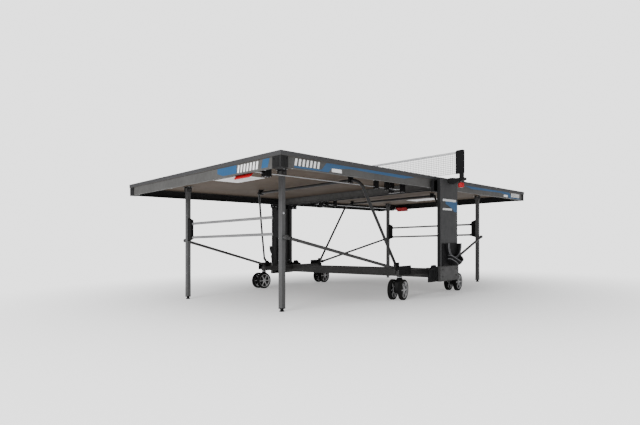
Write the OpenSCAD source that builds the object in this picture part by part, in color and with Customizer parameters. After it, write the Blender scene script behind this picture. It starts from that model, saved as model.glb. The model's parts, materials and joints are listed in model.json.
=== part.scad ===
// Folding table tennis table: two playing halves that stand up one by one on a wheeled centre frame.
// Millimetres, +Z up, origin on the floor under the middle of the net, +X along the long side.
// Every part of a half is drawn for the half at -X; the other half is the same, turned 180 degrees about Z.

/* [Playing surface] */
// Length of the opened table
table_length = 2740; // [2720:5:2760]
// Width of the table
table_width = 1525; // [1515:5:1535]
// Height of the playing surface
table_height = 760; // [757:1:763]
// Thickness of the playing boards
board_thickness = 22; // [20:1:22]
// Gap between the two halves
half_gap = 6; // [5:1:7]

/* [Apron] */
// Height of the steel rails under the board
apron_depth = 51; // [48:1:52]
// Distance of the rails in from the board's edge
apron_inset = 5; // [4:1:6]
// Sheet thickness of the rails
apron_sheet = 2; // [1.5:0.5:2.5]
// Width of a rail's two flanges
apron_flange = 14; // [12:1:15]
// Reach of a plastic corner cap along the table's side
cap_side = 44; // [38:1:48]
// Reach of a corner cap along the table's end
cap_end = 58; // [50:1:62]

/* [Legs] */
// Distance of the legs from the net along the table
leg_x = 1107; // [1095:1:1120]
// Distance of the legs from the middle line
leg_y = 469; // [466:1:472]
// Width of a square leg tube
leg_size = 28; // [26:1:28]
// Wall of a leg tube
leg_wall = 2; // [1.5:0.5:2.5]
// Height of a leg tube's lower end
leg_bottom_z = 15; // [14:1:18]
// Heights of the two rails between the legs
leg_rail_z = [403, 492];
// Diameter of those rails
leg_rail_d = 16; // [14:1:18]
// Diameter of a foot's disc
foot_d = 28; // [26:1:32]

/* [Fold linkage] */
// Pivot of a half on its guide blocks, distance from the net
fold_x = 62; // [60:1:64]
// Height of that pivot when the half is down
fold_z = 715; // [714:1:716]
// Strut frame's upper pivot, distance from the net
strut_top_x = 615.3; // [610:0.1:620]
// Height of the strut frame's upper pivot
strut_top_z = 716; // [714:1:717]
// Strut frame's lower end, distance from the net
strut_foot_x = 260; // [258:1:262]
// Height of the strut frame's lower end
strut_foot_z = 205; // [203:1:207]
// Diameter of the strut frame's bent tube
strut_d = 18; // [16:1:18]
// Diameter of its thinner straight bar
thin_bar_d = 15; // [13:1:15]
// Tie rod's lower pivot, distance from the net
tie_foot_x = 334.9; // [333:0.1:336]
// Height of the tie rod's lower pivot
tie_foot_z = 190; // [189:1:192]
// Height of the tie rod's bolt on the leg
tie_top_z = 384; // [382:1:386]
// Diameter of a tie rod
tie_d = 18; // [16:1:18]

/* [Centre frame] */
// Width of a column along the table
column_width = 222; // [216:2:228]
// Inner face of a column, distance from the middle line
column_y = 788; // [786:1:792]
// Depth of a column
column_depth = 25; // [23:1:28]
// Height of a column's lower end
column_bottom_z = 103; // [100:1:106]
// Height of a column's upper end
column_top_z = 748; // [746:1:750]
// Height of the cross beam's underside
beam_bottom_z = 115; // [112:1:118]
// Height of the cross beam's and arms' top
beam_top_z = 175; // [170:1:176]
// Width of the cross beam
beam_width = 40; // [36:1:44]

/* [Casters] */
// Distance of a caster's swivel from the net
caster_x = 320; // [316:1:324]
// Distance of a caster's swivel from the middle line
caster_y = 655; // [653:1:657]
// Diameter of a wheel
wheel_d = 125; // [120:1:126]
// Width of a wheel
wheel_width = 24; // [22:1:25]
// Distance between the two wheels of a caster, centre to centre
wheel_spacing = 66; // [64:1:70]
// Distance of the axle behind the swivel
caster_trail = 27; // [24:1:30]
// Swivel angle of the caster at -X, -Y
swivel_a = 13; // [0:1:20]
// Swivel angle of the caster at -X, +Y
swivel_b = 0; // [0:1:20]
// Swivel angle of the caster at +X, -Y, from the +X direction
swivel_c = 6; // [0:1:20]
// Swivel angle of the caster at +X, +Y, from the +X direction
swivel_d = 4; // [0:1:20]

/* [Net] */
// Length of the net
net_length = 1830; // [1820:5:1840]
// Height of the net's top above the playing surface
net_height = 152.5; // [150:0.5:155]
// Height of the net's lower edge above the playing surface
net_clearance = 14; // [8:1:18]
// Width of a net post
post_width = 55; // [48:1:58]

/* [Hidden] */
$fn = 48;

charcoal = "#3c3d3f";
rail_grey = "#6f6f72";
plastic_black = "#1d1e20";
signal_red = "#c4141c";
zinc = "#b9bbbd";
surface_blue = "#2c4f74";

// Free gap left between parts that move past each other
gap = 0.3;
// Radial play of a running pin in its bore
play = 0.05;
// How far cutters run past the faces that they cut
cut = 1;

half_length = table_length / 2;
half_width = table_width / 2;
under_z = table_height - board_thickness;
apron_z = under_z - apron_depth;
rail_x = half_length - apron_inset;
rail_y = half_width - apron_inset;
// The inner rail stands back from the joint between the halves, clear of the other half's swing
inner_rail_x = 24;
cap_x = half_length - 1;
cap_y = half_width - 1;

leg_pivot_z = under_z - 18;
leg_top_z = leg_pivot_z + 9;
leg_plug = 25;
foot_stud_r = 5;
gusset_width = 38;
gusset_depth = 22;
gusset_low_z = 380;
gusset_high_z = 530;
gusset_taper = 14;
pivot_r = 5;

fold_pin_r = 6;
guide_rail_width = 16;
guide_rail_depth = 12;
guide_rail_low_z = 180;
block_x = [144, 36];
block_y = [766, column_y - 2.5];
block_z = [660, 732];

strut_y = 585;
strut_bend_r = 60;
cross_end_y = 350;
thin_foot_y = 696;
strut_run = [strut_top_x - strut_foot_x, strut_foot_z - strut_top_z];
strut_length = norm(strut_run);
strut_lean = atan2(strut_run[0], -strut_run[1]);
eye_r = 12;
strut_eye = strut_d / 2 + 1;
clamp_drop = 4;
// Middle and half width of the two clamps on the crossbar
clamps = [[-516, 8], [322, 10]];
tie_top_y = 503;
tie_foot_y = 632;
bolt_head_r = 9;

beam_wall = 2.5;
plate_low_z = 150;
base_top_z = 195;
base_proud = 4;
arm_bottom_z = 140;
arm_width = 40;
bracket_sheet = 4;
caster_stem_r = 6;
fork_cheek = 19;
axle_z = wheel_d / 2;
axle_r = 4;

lock_rod_y = 537;
lock_rod_z = 693;
lock_rod_r = 3;
lock_rod_x = [1334, 178];
// Distance from the net, half length, half width and drop below the rod of its housing and guides
rod_guide_sizes = [[1265, 20, 15, 17], [400, 14, 10, 12], [290, 14, 10, 12]];
latch_drop = 22;
latch_half = 22;
mount_width = 8;
latch_bar_y = [573, 501];
handle_x = 1330;
handle_z = 702;
handle_y = [528, 395];
// Outer mount of the handle, on the far side of the lock rod
handle_mount_y = 545;
paddle_length = 42;
handle_pin_r = 3;

net_top_z = table_height + net_height;
net_low_z = table_height + net_clearance;
net_edge_y = net_length / 2 - post_width;
post_thickness = 12;
post_tongue = [884, 912];
bracket_seat_z = 744;
bracket_width = 44;
knob_y = 895;
knob_z = [684, 716];
knob_r = 18;
knob_stem_r = 6;

// Turns children to the half h: 0 is the half at -X, 1 the half at +X
module turn(h) rotate([0, 0, 180 * h]) children();

// Places children at +Y (s = 1) or, mirrored, at -Y (s = -1)
module side(s) {
    if (s > 0) children();
    else mirror([0, 1, 0]) children();
}

// Box from its lowest to its highest corner
module span(low, high) translate(low) cube(high - low);

// Cylinder along Y between two distances from the middle line
module pin_y(x, z, y_low, y_high, r)
    translate([x, y_low, z]) rotate([-90, 0, 0]) cylinder(h = y_high - y_low, r = r);

// Cylinder along Z
module pin_z(x, y, z_low, z_high, r) translate([x, y, z_low]) cylinder(h = z_high - z_low, r = r);

// Round bar between two points
module bar(a, b, d) {
    run = b - a;
    translate(a)
        rotate([0, acos(run[2] / norm(run)), atan2(run[1], run[0])])
            cylinder(h = norm(run), d = d);
}

// Square tube without ends, hollow between two heights
module hollow_span(low, high, wall, cavity_low, cavity_high) difference() {
    span(low, high);
    span([low[0] + wall, low[1] + wall, cavity_low], [high[0] - wall, high[1] - wall, cavity_high]);
}

// ---- One half: board and what is fixed to it ----

module board(h) color(surface_blue) turn(h)
    span([-half_length, -half_width, under_z], [-half_gap / 2, half_width, table_height]);

// C section of a rail, its web at u = 0 and its flanges towards +u
module rail_section() polygon([
    [0, 0], [apron_flange, 0], [apron_flange, apron_sheet], [apron_sheet, apron_sheet],
    [apron_sheet, apron_depth - apron_sheet], [apron_flange, apron_depth - apron_sheet],
    [apron_flange, apron_depth], [0, apron_depth]
]);

// Rail along +Y from y_low to y_high, web at x, flanges towards +X
module rail_along_y(x, y_low, y_high)
    translate([x, y_high, apron_z]) rotate([90, 0, 0])
        linear_extrude(height = y_high - y_low) rail_section();

// Rail along +X from x_low to x_high, web at y, flanges towards -Y
module rail_along_x(x_low, x_high, y) translate([x_low, y, apron_z])
    rotate([90, 0, 90]) mirror([1, 0, 0]) linear_extrude(height = x_high - x_low) rail_section();

module apron_rails(h) color(rail_grey) turn(h) {
    rail_along_y(-rail_x, -(cap_y - cap_end), cap_y - cap_end);
    mirror([1, 0, 0]) rail_along_y(inner_rail_x, -rail_y + apron_sheet + gap, rail_y - apron_sheet - gap);
    for (s = [-1, 1]) side(s) difference() {
        rail_along_x(-(cap_x - cap_side), -inner_rail_x, rail_y);
        pin_y(-fold_x, fold_z, rail_y - apron_sheet - cut, rail_y + cut, fold_pin_r + 1);
        // the flanges are cut back where the inner rail's ends meet them
        span([-inner_rail_x - apron_flange - gap, rail_y - apron_flange - cut, apron_z - cut],
             [-inner_rail_x + cut, rail_y - apron_sheet, under_z + cut]);
    }
}

// Plastic cap over an outer corner, open at the top and towards the table
module corner_caps(h) color(plastic_black) turn(h) for (s = [-1, 1]) side(s) {
    wall = 4;
    difference() {
        span([-cap_x, cap_y - cap_end, apron_z - 2], [-cap_x + cap_side, cap_y, under_z]);
        span([-cap_x + wall, cap_y - cap_end - cut, apron_z + 2],
             [-cap_x + cap_side + cut, cap_y - wall, under_z - 3]);
    }
    // upright ridge on each outer face
    span([-cap_x - 0.8, cap_y - 22, apron_z], [-cap_x, cap_y - 17, under_z - 2]);
    span([-cap_x + 17, cap_y, apron_z], [-cap_x + 22, cap_y + 0.8, under_z - 2]);
}

// Steel plates that carry the half on the pins of its guide blocks
module pivot_plates(h) color(zinc) turn(h) for (s = [-1, 1]) side(s) difference() {
    span([-fold_x - 20, rail_y - apron_sheet - 4, apron_z + apron_sheet],
         [-fold_x + 20, rail_y - apron_sheet, under_z - apron_sheet]);
    pin_y(-fold_x, fold_z, rail_y - apron_sheet - 4 - cut, rail_y, fold_pin_r + play);
}

// Ears with outward flanges on both sides of a leg, and the pin through them
module leg_brackets(h) color(charcoal) turn(h) for (s = [-1, 1]) side(s) {
    ear = 3;
    ear_face = leg_size / 2 + gap;
    pin_y(-leg_x, leg_pivot_z, leg_y - ear_face - ear - 4, leg_y + ear_face + ear + 4, pivot_r);
    for (t = [-1, 1]) translate([0, leg_y, 0]) side(t) {
        span([-leg_x - 18, ear_face, leg_pivot_z - 17], [-leg_x + 18, ear_face + ear, under_z]);
        span([-leg_x - 18, ear_face + ear, under_z - ear], [-leg_x + 18, ear_face + ear + 18, under_z]);
        pin_y(-leg_x, leg_pivot_z, ear_face + ear, ear_face + ear + 5, bolt_head_r);
    }
}

// Blocks that hold the strut frame's crossbar under the board
module strut_clamps(h) color(plastic_black) turn(h) for (c = clamps) difference() {
    reach = strut_d / 2 + 6;
    span([-strut_top_x - reach, c[0] - c[1], strut_top_z - strut_d / 2 - clamp_drop],
         [-strut_top_x + reach, c[0] + c[1], under_z]);
    pin_y(-strut_top_x, strut_top_z, c[0] - c[1] - cut, c[0] + c[1] + cut, strut_d / 2 + play);
}

// Housing and guides of the lock rod, and the two mounts of the release handle
module rod_guides(h) color(plastic_black) turn(h) {
    for (g = rod_guide_sizes) difference() {
        span([-g[0] - g[1], -lock_rod_y - g[2], lock_rod_z - g[3]],
             [-g[0] + g[1], -lock_rod_y + g[2], under_z]);
        translate([-g[0] - g[1] - cut, -lock_rod_y, lock_rod_z]) rotate([0, 90, 0])
            cylinder(h = 2 * (g[1] + cut), r = lock_rod_r + play);
    }
    for (y = [-latch_bar_y[0] - 14, -latch_bar_y[1] + gap])
        span([-lock_rod_x[1] - latch_half, y, lock_rod_z - latch_drop],
             [-lock_rod_x[1] + latch_half, y + 14 - gap, under_z]);
    for (y = [-handle_mount_y - mount_width, -handle_y[1] + gap]) difference() {
        span([-handle_x - 9, y, handle_z - 9], [-handle_x + 9, y + mount_width, under_z]);
        pin_y(-handle_x, handle_z, y - cut, y + mount_width + cut, handle_pin_r + play);
    }
}

// Rod that works the latch: a long bar from under the handle's pin, and a crossbar at the latch
module lock_rod(h) color(zinc) turn(h) {
    bar([-lock_rod_x[0], -lock_rod_y, lock_rod_z], [-lock_rod_x[1], -lock_rod_y, lock_rod_z], 2 * lock_rod_r);
    pin_y(-lock_rod_x[1], lock_rod_z, -latch_bar_y[0] + gap, -latch_bar_y[1] - gap, 4);
}

// Paddle under the end rail, on a pin between its two mounts
module release_handle(h) color(signal_red) turn(h) {
    paddle_lean = 38;
    pin_y(-handle_x, handle_z, -handle_mount_y - mount_width + cut, -handle_y[1] + mount_width - cut,
          handle_pin_r);
    translate([-handle_x, -handle_y[0], handle_z]) rotate([0, paddle_lean, 0])
        span([-2.5, 0, -paddle_length], [2.5, handle_y[0] - handle_y[1], 5]);
}

// ---- One half: the guide blocks that run in the columns ----

module guide_blocks(h) color(plastic_black) turn(h) for (s = [-1, 1]) side(s) {
    difference() {
        span([-block_x[0], block_y[0], block_z[0]], [-block_x[1], block_y[1], block_z[1]]);
        span([-fold_x - guide_rail_width / 2 - 0.5, column_y - guide_rail_depth - 0.5, block_z[0] - cut],
             [-fold_x + guide_rail_width / 2 + 0.5, column_y, block_z[1] + cut]);
        // lightening pocket in the face towards the column
        span([-block_x[0] + 6, block_y[0] + 8, block_z[0] + 6],
             [-fold_x - guide_rail_width / 2 - 6, column_y, block_z[1] - 6]);
    }
    pin_y(-fold_x, fold_z, rail_y - apron_sheet - 10, block_y[0] + 1, fold_pin_r);
}

// ---- One half: legs ----

module leg(s) side(s) {
    half = leg_size / 2;
    difference() {
        hollow_span([-leg_x - half, leg_y - half, leg_bottom_z], [-leg_x + half, leg_y + half, leg_top_z],
                    leg_wall, leg_bottom_z + leg_plug, leg_top_z + cut);
        pin_y(-leg_x, leg_pivot_z, leg_y - half - cut, leg_y + half + cut, pivot_r + play);
        pin_z(-leg_x, leg_y, leg_bottom_z - cut, leg_bottom_z + leg_plug + cut, foot_stud_r + play);
    }
}

module legs(h) color(charcoal) turn(h) for (s = [-1, 1]) leg(s);

module leg_rails(h) color(zinc) turn(h) for (z = leg_rail_z) {
    reach = leg_y - leg_size / 2 - gusset_width;
    pin_y(-leg_x, z, -reach, reach, leg_rail_d / 2);
}

// Tapered plastic brackets that hold the rails to the legs
module leg_gussets(h) color(plastic_black) turn(h) for (s = [-1, 1]) side(s) {
    face = leg_y - leg_size / 2;
    translate([-leg_x - gusset_depth / 2, 0, 0]) rotate([90, 0, 90]) linear_extrude(height = gusset_depth)
        polygon([
            [face, gusset_low_z], [face, gusset_high_z],
            [face - gusset_width, gusset_high_z - gusset_taper],
            [face - gusset_width, gusset_low_z + gusset_taper]
        ]);
}

// Screw foot: a flared disc, a neck and a stud that runs in the leg's plug
module foot(h, s) color(plastic_black) turn(h) side(s) translate([-leg_x, leg_y, 0]) {
    cylinder(h = 4, d = foot_d);
    translate([0, 0, 4]) cylinder(h = 3, d1 = foot_d, d2 = 17);
    translate([0, 0, 7]) cylinder(h = leg_bottom_z - gap - 7, d = 17);
    cylinder(h = leg_bottom_z + leg_plug + 5, r = foot_stud_r);
}

// ---- One half: linkage ----

module tie_rods(h) color(charcoal) turn(h) for (s = [-1, 1]) side(s) difference() {
    union() {
        bar([-leg_x, tie_top_y, tie_top_z], [-tie_foot_x, tie_foot_y, tie_foot_z], tie_d);
        pin_y(-leg_x, tie_top_z, tie_top_y - 8, tie_top_y + 8, eye_r);
        pin_y(-tie_foot_x, tie_foot_z, tie_foot_y - 8, tie_foot_y + 8, eye_r + 1);
        // bolt that ends just short of the leg
        pin_y(-leg_x, tie_top_z, leg_y + leg_size / 2 + gap, tie_top_y, 6);
        pin_y(-leg_x, tie_top_z, tie_top_y + 8, tie_top_y + 13, bolt_head_r);
    }
    pin_y(-tie_foot_x, tie_foot_z, tie_foot_y - 20, tie_foot_y + 20, pivot_r + play);
    // the tube is cut off flush behind the lower eye
    span([-tie_foot_x - 13, tie_foot_y - 30, tie_foot_z - 30],
         [-tie_foot_x + 30, tie_foot_y - 8, tie_foot_z + 30]);
    span([-tie_foot_x - 13, tie_foot_y + 8, tie_foot_z - 30],
         [-tie_foot_x + 30, tie_foot_y + 30, tie_foot_z + 30]);
}

// Bent tube along one side, its crossbar under the board, and a thinner bar to the far side
module strut_frame(h) color(charcoal) turn(h)
    translate([-strut_top_x, 0, strut_top_z]) rotate([0, -strut_lean, 0]) {
    // here the strut hangs straight down from the crossbar's axis
    bar([0, -strut_y, -strut_bend_r], [0, -strut_y, -strut_length], strut_d);
    translate([0, -strut_y + strut_bend_r, -strut_bend_r]) rotate([90, 0, -90])
        rotate_extrude(angle = 90) translate([strut_bend_r, 0]) circle(d = strut_d);
    bar([0, -strut_y + strut_bend_r, 0], [0, cross_end_y, 0], strut_d);
    pin_y(0, -strut_length, -strut_y - strut_eye, -strut_y + strut_eye, eye_r);
    pin_y(0, -strut_length, -strut_y + strut_eye, -strut_y + strut_eye + 5, bolt_head_r);
    bar([0, cross_end_y, 0], [0, thin_foot_y, -strut_length + 42], thin_bar_d);
    span([-9, thin_foot_y - 3.5, -strut_length], [9, thin_foot_y + 3.5, -strut_length + 46]);
    pin_y(0, -strut_length, thin_foot_y - 3.5, thin_foot_y + 3.5, 11);
    pin_y(0, -strut_length, thin_foot_y + 3.5, thin_foot_y + 9, bolt_head_r);
}

// ---- Centre frame ----

module cross_beam() color(charcoal) difference() {
    span([-beam_width / 2, -column_y, beam_bottom_z], [beam_width / 2, column_y, beam_top_z]);
    span([-beam_width / 2 + beam_wall, -column_y + beam_wall, beam_bottom_z + beam_wall],
         [beam_width / 2 - beam_wall, column_y - beam_wall, beam_top_z - beam_wall]);
}

// Four tubes out to the casters, each with its swivel's socket
module caster_arms() color(charcoal) for (h = [0, 1], s = [-1, 1]) turn(h) side(s) difference() {
    union() {
        span([-caster_x, caster_y - arm_width / 2, arm_bottom_z],
             [-beam_width / 2, caster_y + arm_width / 2, beam_top_z]);
        pin_z(-caster_x, caster_y, arm_bottom_z, beam_top_z, arm_width / 2);
    }
    span([-caster_x + 26, caster_y - arm_width / 2 + beam_wall, arm_bottom_z + beam_wall],
         [-beam_width / 2 - beam_wall, caster_y + arm_width / 2 - beam_wall, beam_top_z - beam_wall]);
    pin_z(-caster_x, caster_y, arm_bottom_z - cut, beam_top_z + cut, caster_stem_r + play);
}

// Plate outside each arm with the tie rod's pivot pin, and the rest for the strut frame's foot
module caster_brackets() color(charcoal) for (h = [0, 1], s = [-1, 1]) turn(h) side(s) {
    face = caster_y + arm_width / 2;
    inner = caster_y - arm_width / 2;
    span([-tie_foot_x - 22, face, plate_low_z], [-strut_foot_x + 30, face + bracket_sheet, 205]);
    pin_y(-tie_foot_x, tie_foot_z, tie_foot_y - 14, face, pivot_r);
    pin_y(-tie_foot_x, tie_foot_z, tie_foot_y + 8 + gap, face, bolt_head_r);
    pin_y(-tie_foot_x, tie_foot_z, tie_foot_y - 14, tie_foot_y - 8 - gap, bolt_head_r);
    if (s > 0) {
        rest_y = thin_foot_y - 3.5 - gap;
        span([-strut_foot_x - 18, face + bracket_sheet, plate_low_z],
             [-strut_foot_x + 18, rest_y - bracket_sheet, plate_low_z + 6]);
        span([-strut_foot_x - 18, rest_y - bracket_sheet, plate_low_z], [-strut_foot_x + 18, rest_y, 217]);
    } else {
        rest_y = strut_y + strut_eye + gap;
        span([-strut_foot_x - 18, rest_y + bracket_sheet, plate_low_z],
             [-strut_foot_x + 18, inner, plate_low_z + 6]);
        span([-strut_foot_x - 18, rest_y, plate_low_z], [-strut_foot_x + 18, rest_y + bracket_sheet, 222]);
    }
}

module column(s) color(charcoal) side(s) {
    wall = 2;
    difference() {
        span([-column_width / 2, column_y, column_bottom_z],
             [column_width / 2, column_y + column_depth, column_top_z]);
        span([-column_width / 2 + wall, column_y + wall, column_bottom_z + wall],
             [column_width / 2 - wall, column_y + column_depth - wall, column_top_z - wall]);
    }
}

// Upright rails on the columns' inner faces, one for each half
module guide_rails() color(zinc) for (s = [-1, 1], t = [-1, 1]) side(s)
    span([t * fold_x - guide_rail_width / 2, column_y - guide_rail_depth, guide_rail_low_z],
         [t * fold_x + guide_rail_width / 2, column_y, column_top_z - 3]);

// Covers around the columns' lower ends, open towards the table
module column_bases() color(charcoal) for (s = [-1, 1]) side(s) difference() {
    span([-column_width / 2 - base_proud, column_y, column_bottom_z - 3],
         [column_width / 2 + base_proud, column_y + column_depth + base_proud, base_top_z]);
    span([-column_width / 2, column_y - cut, column_bottom_z],
         [column_width / 2, column_y + column_depth, base_top_z + cut]);
}

// Rounded stop beside one edge of each column's base, with two upright ribs
module base_bumpers() color(plastic_black) for (h = [0, 1]) turn(h) side(-1) {
    from = column_width / 2 + base_proud;
    face = column_y - 2;
    translate([0, face + 13, 0]) rotate([90, 0, 0]) linear_extrude(height = 13) polygon([
        [-from, 102], [-from - 97, 102], [-from - 97, 178], [-from - 74, 184], [-from - 56, 205],
        [-from - 24, 205], [-from - 13, 186], [-from, 186]
    ]);
    for (x = [-from - 80, -from - 44]) span([x, face + 13, 108], [x + 6, face + 16, 176]);
}

// Stack of cones along Z: one radius at each height
module cones(x, y, profile) for (i = [0:len(profile) - 2])
    translate([x, y, profile[i][0]])
        cylinder(h = profile[i + 1][0] - profile[i][0], r1 = profile[i][1], r2 = profile[i + 1][1]);

// Panel with a raised U-shaped collar and a half-open bowl for spare balls
module ball_holder(s) color(plastic_black) side(s) {
    face = column_y + column_depth;
    back = face + 6;
    front = face + 27;
    collar = [26, 322];
    collar_r = 84;
    bowl_x = 24;
    rim_z = 262;
    panel_low_z = 197;
    top_z = 336;
    bowl = [[196, 16], [212, 40], [232, 53], [rim_z, 56]];
    hollow = [[201, 14], [214, 36], [233, 48.5], [rim_z, 52]];
    difference() {
        union() {
            span([-90, face, panel_low_z], [106, face + 8, top_z]);
            difference() {
                intersection() {
                    pin_y(collar[0], collar[1], face, front, collar_r);
                    span([-90, face, panel_low_z], [110, front, top_z]);
                }
                pin_y(collar[0], collar[1], back, front + cut, collar_r - 12);
            }
            intersection() {
                cones(bowl_x, front, bowl);
                span([bowl_x - 60, face, 190], [bowl_x + 60, front + 60, rim_z + cut]);
            }
        }
        intersection() {
            union() {
                cones(bowl_x, front, hollow);
                pin_z(bowl_x, front, rim_z, top_z + cut, 52);
            }
            span([bowl_x - 60, back, 190], [bowl_x + 60, front + 60, top_z + 2 * cut]);
        }
        // slot in the bowl's front edge
        span([bowl_x - 8, front + 30, 240], [bowl_x + 8, front + 60, rim_z + cut]);
    }
}

// Screw heads on the base covers' outer faces
module frame_bolts() color(plastic_black) for (s = [-1, 1], t = [-1, 1]) side(s) {
    face = column_y + column_depth + base_proud;
    for (z = [130, 172]) pin_y(t * 84, z, face, face + 3, 6);
}

// ---- Net ----

module net_brackets() color(plastic_black) for (s = [-1, 1]) side(s) difference() {
    face = column_y + column_depth;
    tip = post_tongue[1] + 8;
    translate([-bracket_width / 2, 0, 0]) rotate([90, 0, 90]) linear_extrude(height = bracket_width) polygon([
        [face, column_top_z], [850, column_top_z], [870, bracket_seat_z], [tip, bracket_seat_z], [tip, 730],
        [884, 722], [849, 706], [827, 712], [face, 724]
    ]);
    pin_z(0, knob_y, 700, column_top_z, knob_stem_r + play);
}

// Flat post with a narrow tongue that stands on the bracket
module net_post(s) color(plastic_black) side(s) {
    span([-post_thickness / 2, net_edge_y, net_low_z - 3],
         [post_thickness / 2, net_edge_y + post_width, net_top_z + 7]);
    span([-post_thickness / 2, post_tongue[0], bracket_seat_z],
         [post_thickness / 2, post_tongue[1], net_low_z - 3]);
}

module net() color("#c9cdd0") {
    slack = 0.3;
    span([-1.2, -net_edge_y + slack, net_low_z], [1.2, net_edge_y - slack, net_top_z]);
}

// Clamp knob: six notches for grip and a stem up into the bracket
module knob(s) color(signal_red) side(s) {
    difference() {
        pin_z(0, knob_y, knob_z[0], knob_z[1], knob_r);
        for (a = [0:60:300]) translate([0, knob_y, 0]) rotate([0, 0, a + 30])
            pin_z(knob_r + 2, 0, knob_z[0] - cut, knob_z[1] - 8, 5);
    }
    pin_z(0, knob_y, knob_z[1], bracket_seat_z - 3, knob_stem_r);
}

// ---- Casters ----

// Puts children at a caster's swivel axis, turned by its angle; the wheels trail towards -X
module at_caster(x, y, angle) translate([x, y, 0]) rotate([0, 0, angle]) children();

module fork(x, y, angle) color(plastic_black) at_caster(x, y, angle) {
    axle_reach = (wheel_spacing + wheel_width) / 2 + 3;
    pin_z(0, 0, 60, 132, 15);
    pin_y(-caster_trail, axle_z, -fork_cheek, fork_cheek, 20);
    pin_y(-caster_trail, axle_z, -axle_reach, axle_reach, axle_r);
    translate([0, fork_cheek, 0]) rotate([90, 0, 0]) linear_extrude(height = 2 * fork_cheek)
        polygon([[-caster_trail - 20, axle_z], [-caster_trail - 14, 104], [-12, 124], [14, 124],
                 [14, 92], [-caster_trail + 20, axle_z]]);
    pin_z(0, 0, 132, arm_bottom_z - gap, 13);
    pin_z(0, 0, arm_bottom_z - gap, beam_top_z, caster_stem_r);
}

// One wheel: tyre, web and six spokes, centred on y, with a bore for the axle
module wheel(y) translate([0, y, 0]) rotate([90, 0, 0]) {
    r = wheel_d / 2;
    difference() {
        union() {
            difference() {
                translate([0, 0, -wheel_width / 2]) cylinder(h = wheel_width, r = r);
                translate([0, 0, -wheel_width / 2 - cut]) cylinder(h = wheel_width + 2 * cut, r = r - 12);
            }
            translate([0, 0, -3]) cylinder(h = 6, r = r - 11.5);
            translate([0, 0, -wheel_width / 2 + 1]) cylinder(h = wheel_width - 2, r = 13);
            for (a = [0:60:300]) rotate([0, 0, a]) translate([0, -4, -wheel_width / 2 + 3])
                cube([r - 11.5, 8, wheel_width - 6]);
        }
        translate([0, 0, -wheel_width]) cylinder(h = 2 * wheel_width, r = axle_r + play);
    }
}

module wheels(x, y, angle) color(plastic_black) at_caster(x, y, angle) translate([-caster_trail, 0, axle_z])
    for (s = [-1, 1]) wheel(s * wheel_spacing / 2);

cross_beam();
caster_arms();
caster_brackets();
column(-1);  // column_front
column(1);  // column_rear
guide_rails();
column_bases();
base_bumpers();
ball_holder(-1);  // ball_holder_front
turn(1) ball_holder(-1);  // ball_holder_rear
frame_bolts();
net_brackets();
net_post(-1);  // net_post_front
net_post(1);  // net_post_rear
net();
knob(-1);  // knob_front
knob(1);  // knob_rear
fork(-caster_x, -caster_y, swivel_a);  // fork_a
fork(-caster_x, caster_y, swivel_b);  // fork_b
turn(1) fork(-caster_x, caster_y, swivel_c);  // fork_c
turn(1) fork(-caster_x, -caster_y, swivel_d);  // fork_d
wheels(-caster_x, -caster_y, swivel_a);  // wheels_a
wheels(-caster_x, caster_y, swivel_b);  // wheels_b
turn(1) wheels(-caster_x, caster_y, swivel_c);  // wheels_c
turn(1) wheels(-caster_x, -caster_y, swivel_d);  // wheels_d

board(0);  // board_left
apron_rails(0);  // apron_rails_left
corner_caps(0);  // corner_caps_left
pivot_plates(0);  // pivot_plates_left
leg_brackets(0);  // leg_brackets_left
strut_clamps(0);  // strut_clamps_left
rod_guides(0);  // rod_guides_left
release_handle(0);  // release_handle_left
lock_rod(0);  // lock_rod_left
guide_blocks(0);  // guide_blocks_left
legs(0);  // legs_left
leg_rails(0);  // leg_rails_left
leg_gussets(0);  // leg_gussets_left
foot(0, -1);  // foot_front_left
foot(0, 1);  // foot_rear_left
tie_rods(0);  // tie_rods_left
strut_frame(0);  // strut_frame_left

board(1);  // board_right
apron_rails(1);  // apron_rails_right
corner_caps(1);  // corner_caps_right
pivot_plates(1);  // pivot_plates_right
leg_brackets(1);  // leg_brackets_right
strut_clamps(1);  // strut_clamps_right
rod_guides(1);  // rod_guides_right
release_handle(1);  // release_handle_right
lock_rod(1);  // lock_rod_right
guide_blocks(1);  // guide_blocks_right
legs(1);  // legs_right
leg_rails(1);  // leg_rails_right
leg_gussets(1);  // leg_gussets_right
foot(1, 1);  // foot_front_right
foot(1, -1);  // foot_rear_right
tie_rods(1);  // tie_rods_right
strut_frame(1);  // strut_frame_right
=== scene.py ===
import json
import math
import random
from itertools import product

import bmesh
import bpy
from mathutils import Matrix, Vector


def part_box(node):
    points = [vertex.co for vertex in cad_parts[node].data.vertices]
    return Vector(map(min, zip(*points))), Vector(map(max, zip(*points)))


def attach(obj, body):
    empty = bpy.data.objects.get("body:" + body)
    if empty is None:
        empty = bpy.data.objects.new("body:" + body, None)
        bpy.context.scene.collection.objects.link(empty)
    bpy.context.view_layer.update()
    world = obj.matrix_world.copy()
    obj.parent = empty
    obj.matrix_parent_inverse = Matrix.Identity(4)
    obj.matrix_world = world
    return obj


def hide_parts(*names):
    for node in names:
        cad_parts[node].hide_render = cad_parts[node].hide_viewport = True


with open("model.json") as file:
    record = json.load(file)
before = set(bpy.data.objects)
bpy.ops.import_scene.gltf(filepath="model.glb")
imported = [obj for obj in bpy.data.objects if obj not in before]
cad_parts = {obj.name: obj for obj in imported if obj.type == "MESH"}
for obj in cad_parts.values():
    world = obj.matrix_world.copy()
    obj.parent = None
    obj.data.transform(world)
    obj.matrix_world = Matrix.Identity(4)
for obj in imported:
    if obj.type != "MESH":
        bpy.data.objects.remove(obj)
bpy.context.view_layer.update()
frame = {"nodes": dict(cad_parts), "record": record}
MM = 0.001
BEHAVIOUR = frame["record"]["behaviour"]
BODY_OF = {node: body for body, nodes in BEHAVIOUR["bodies"].items() for node in nodes}
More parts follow.
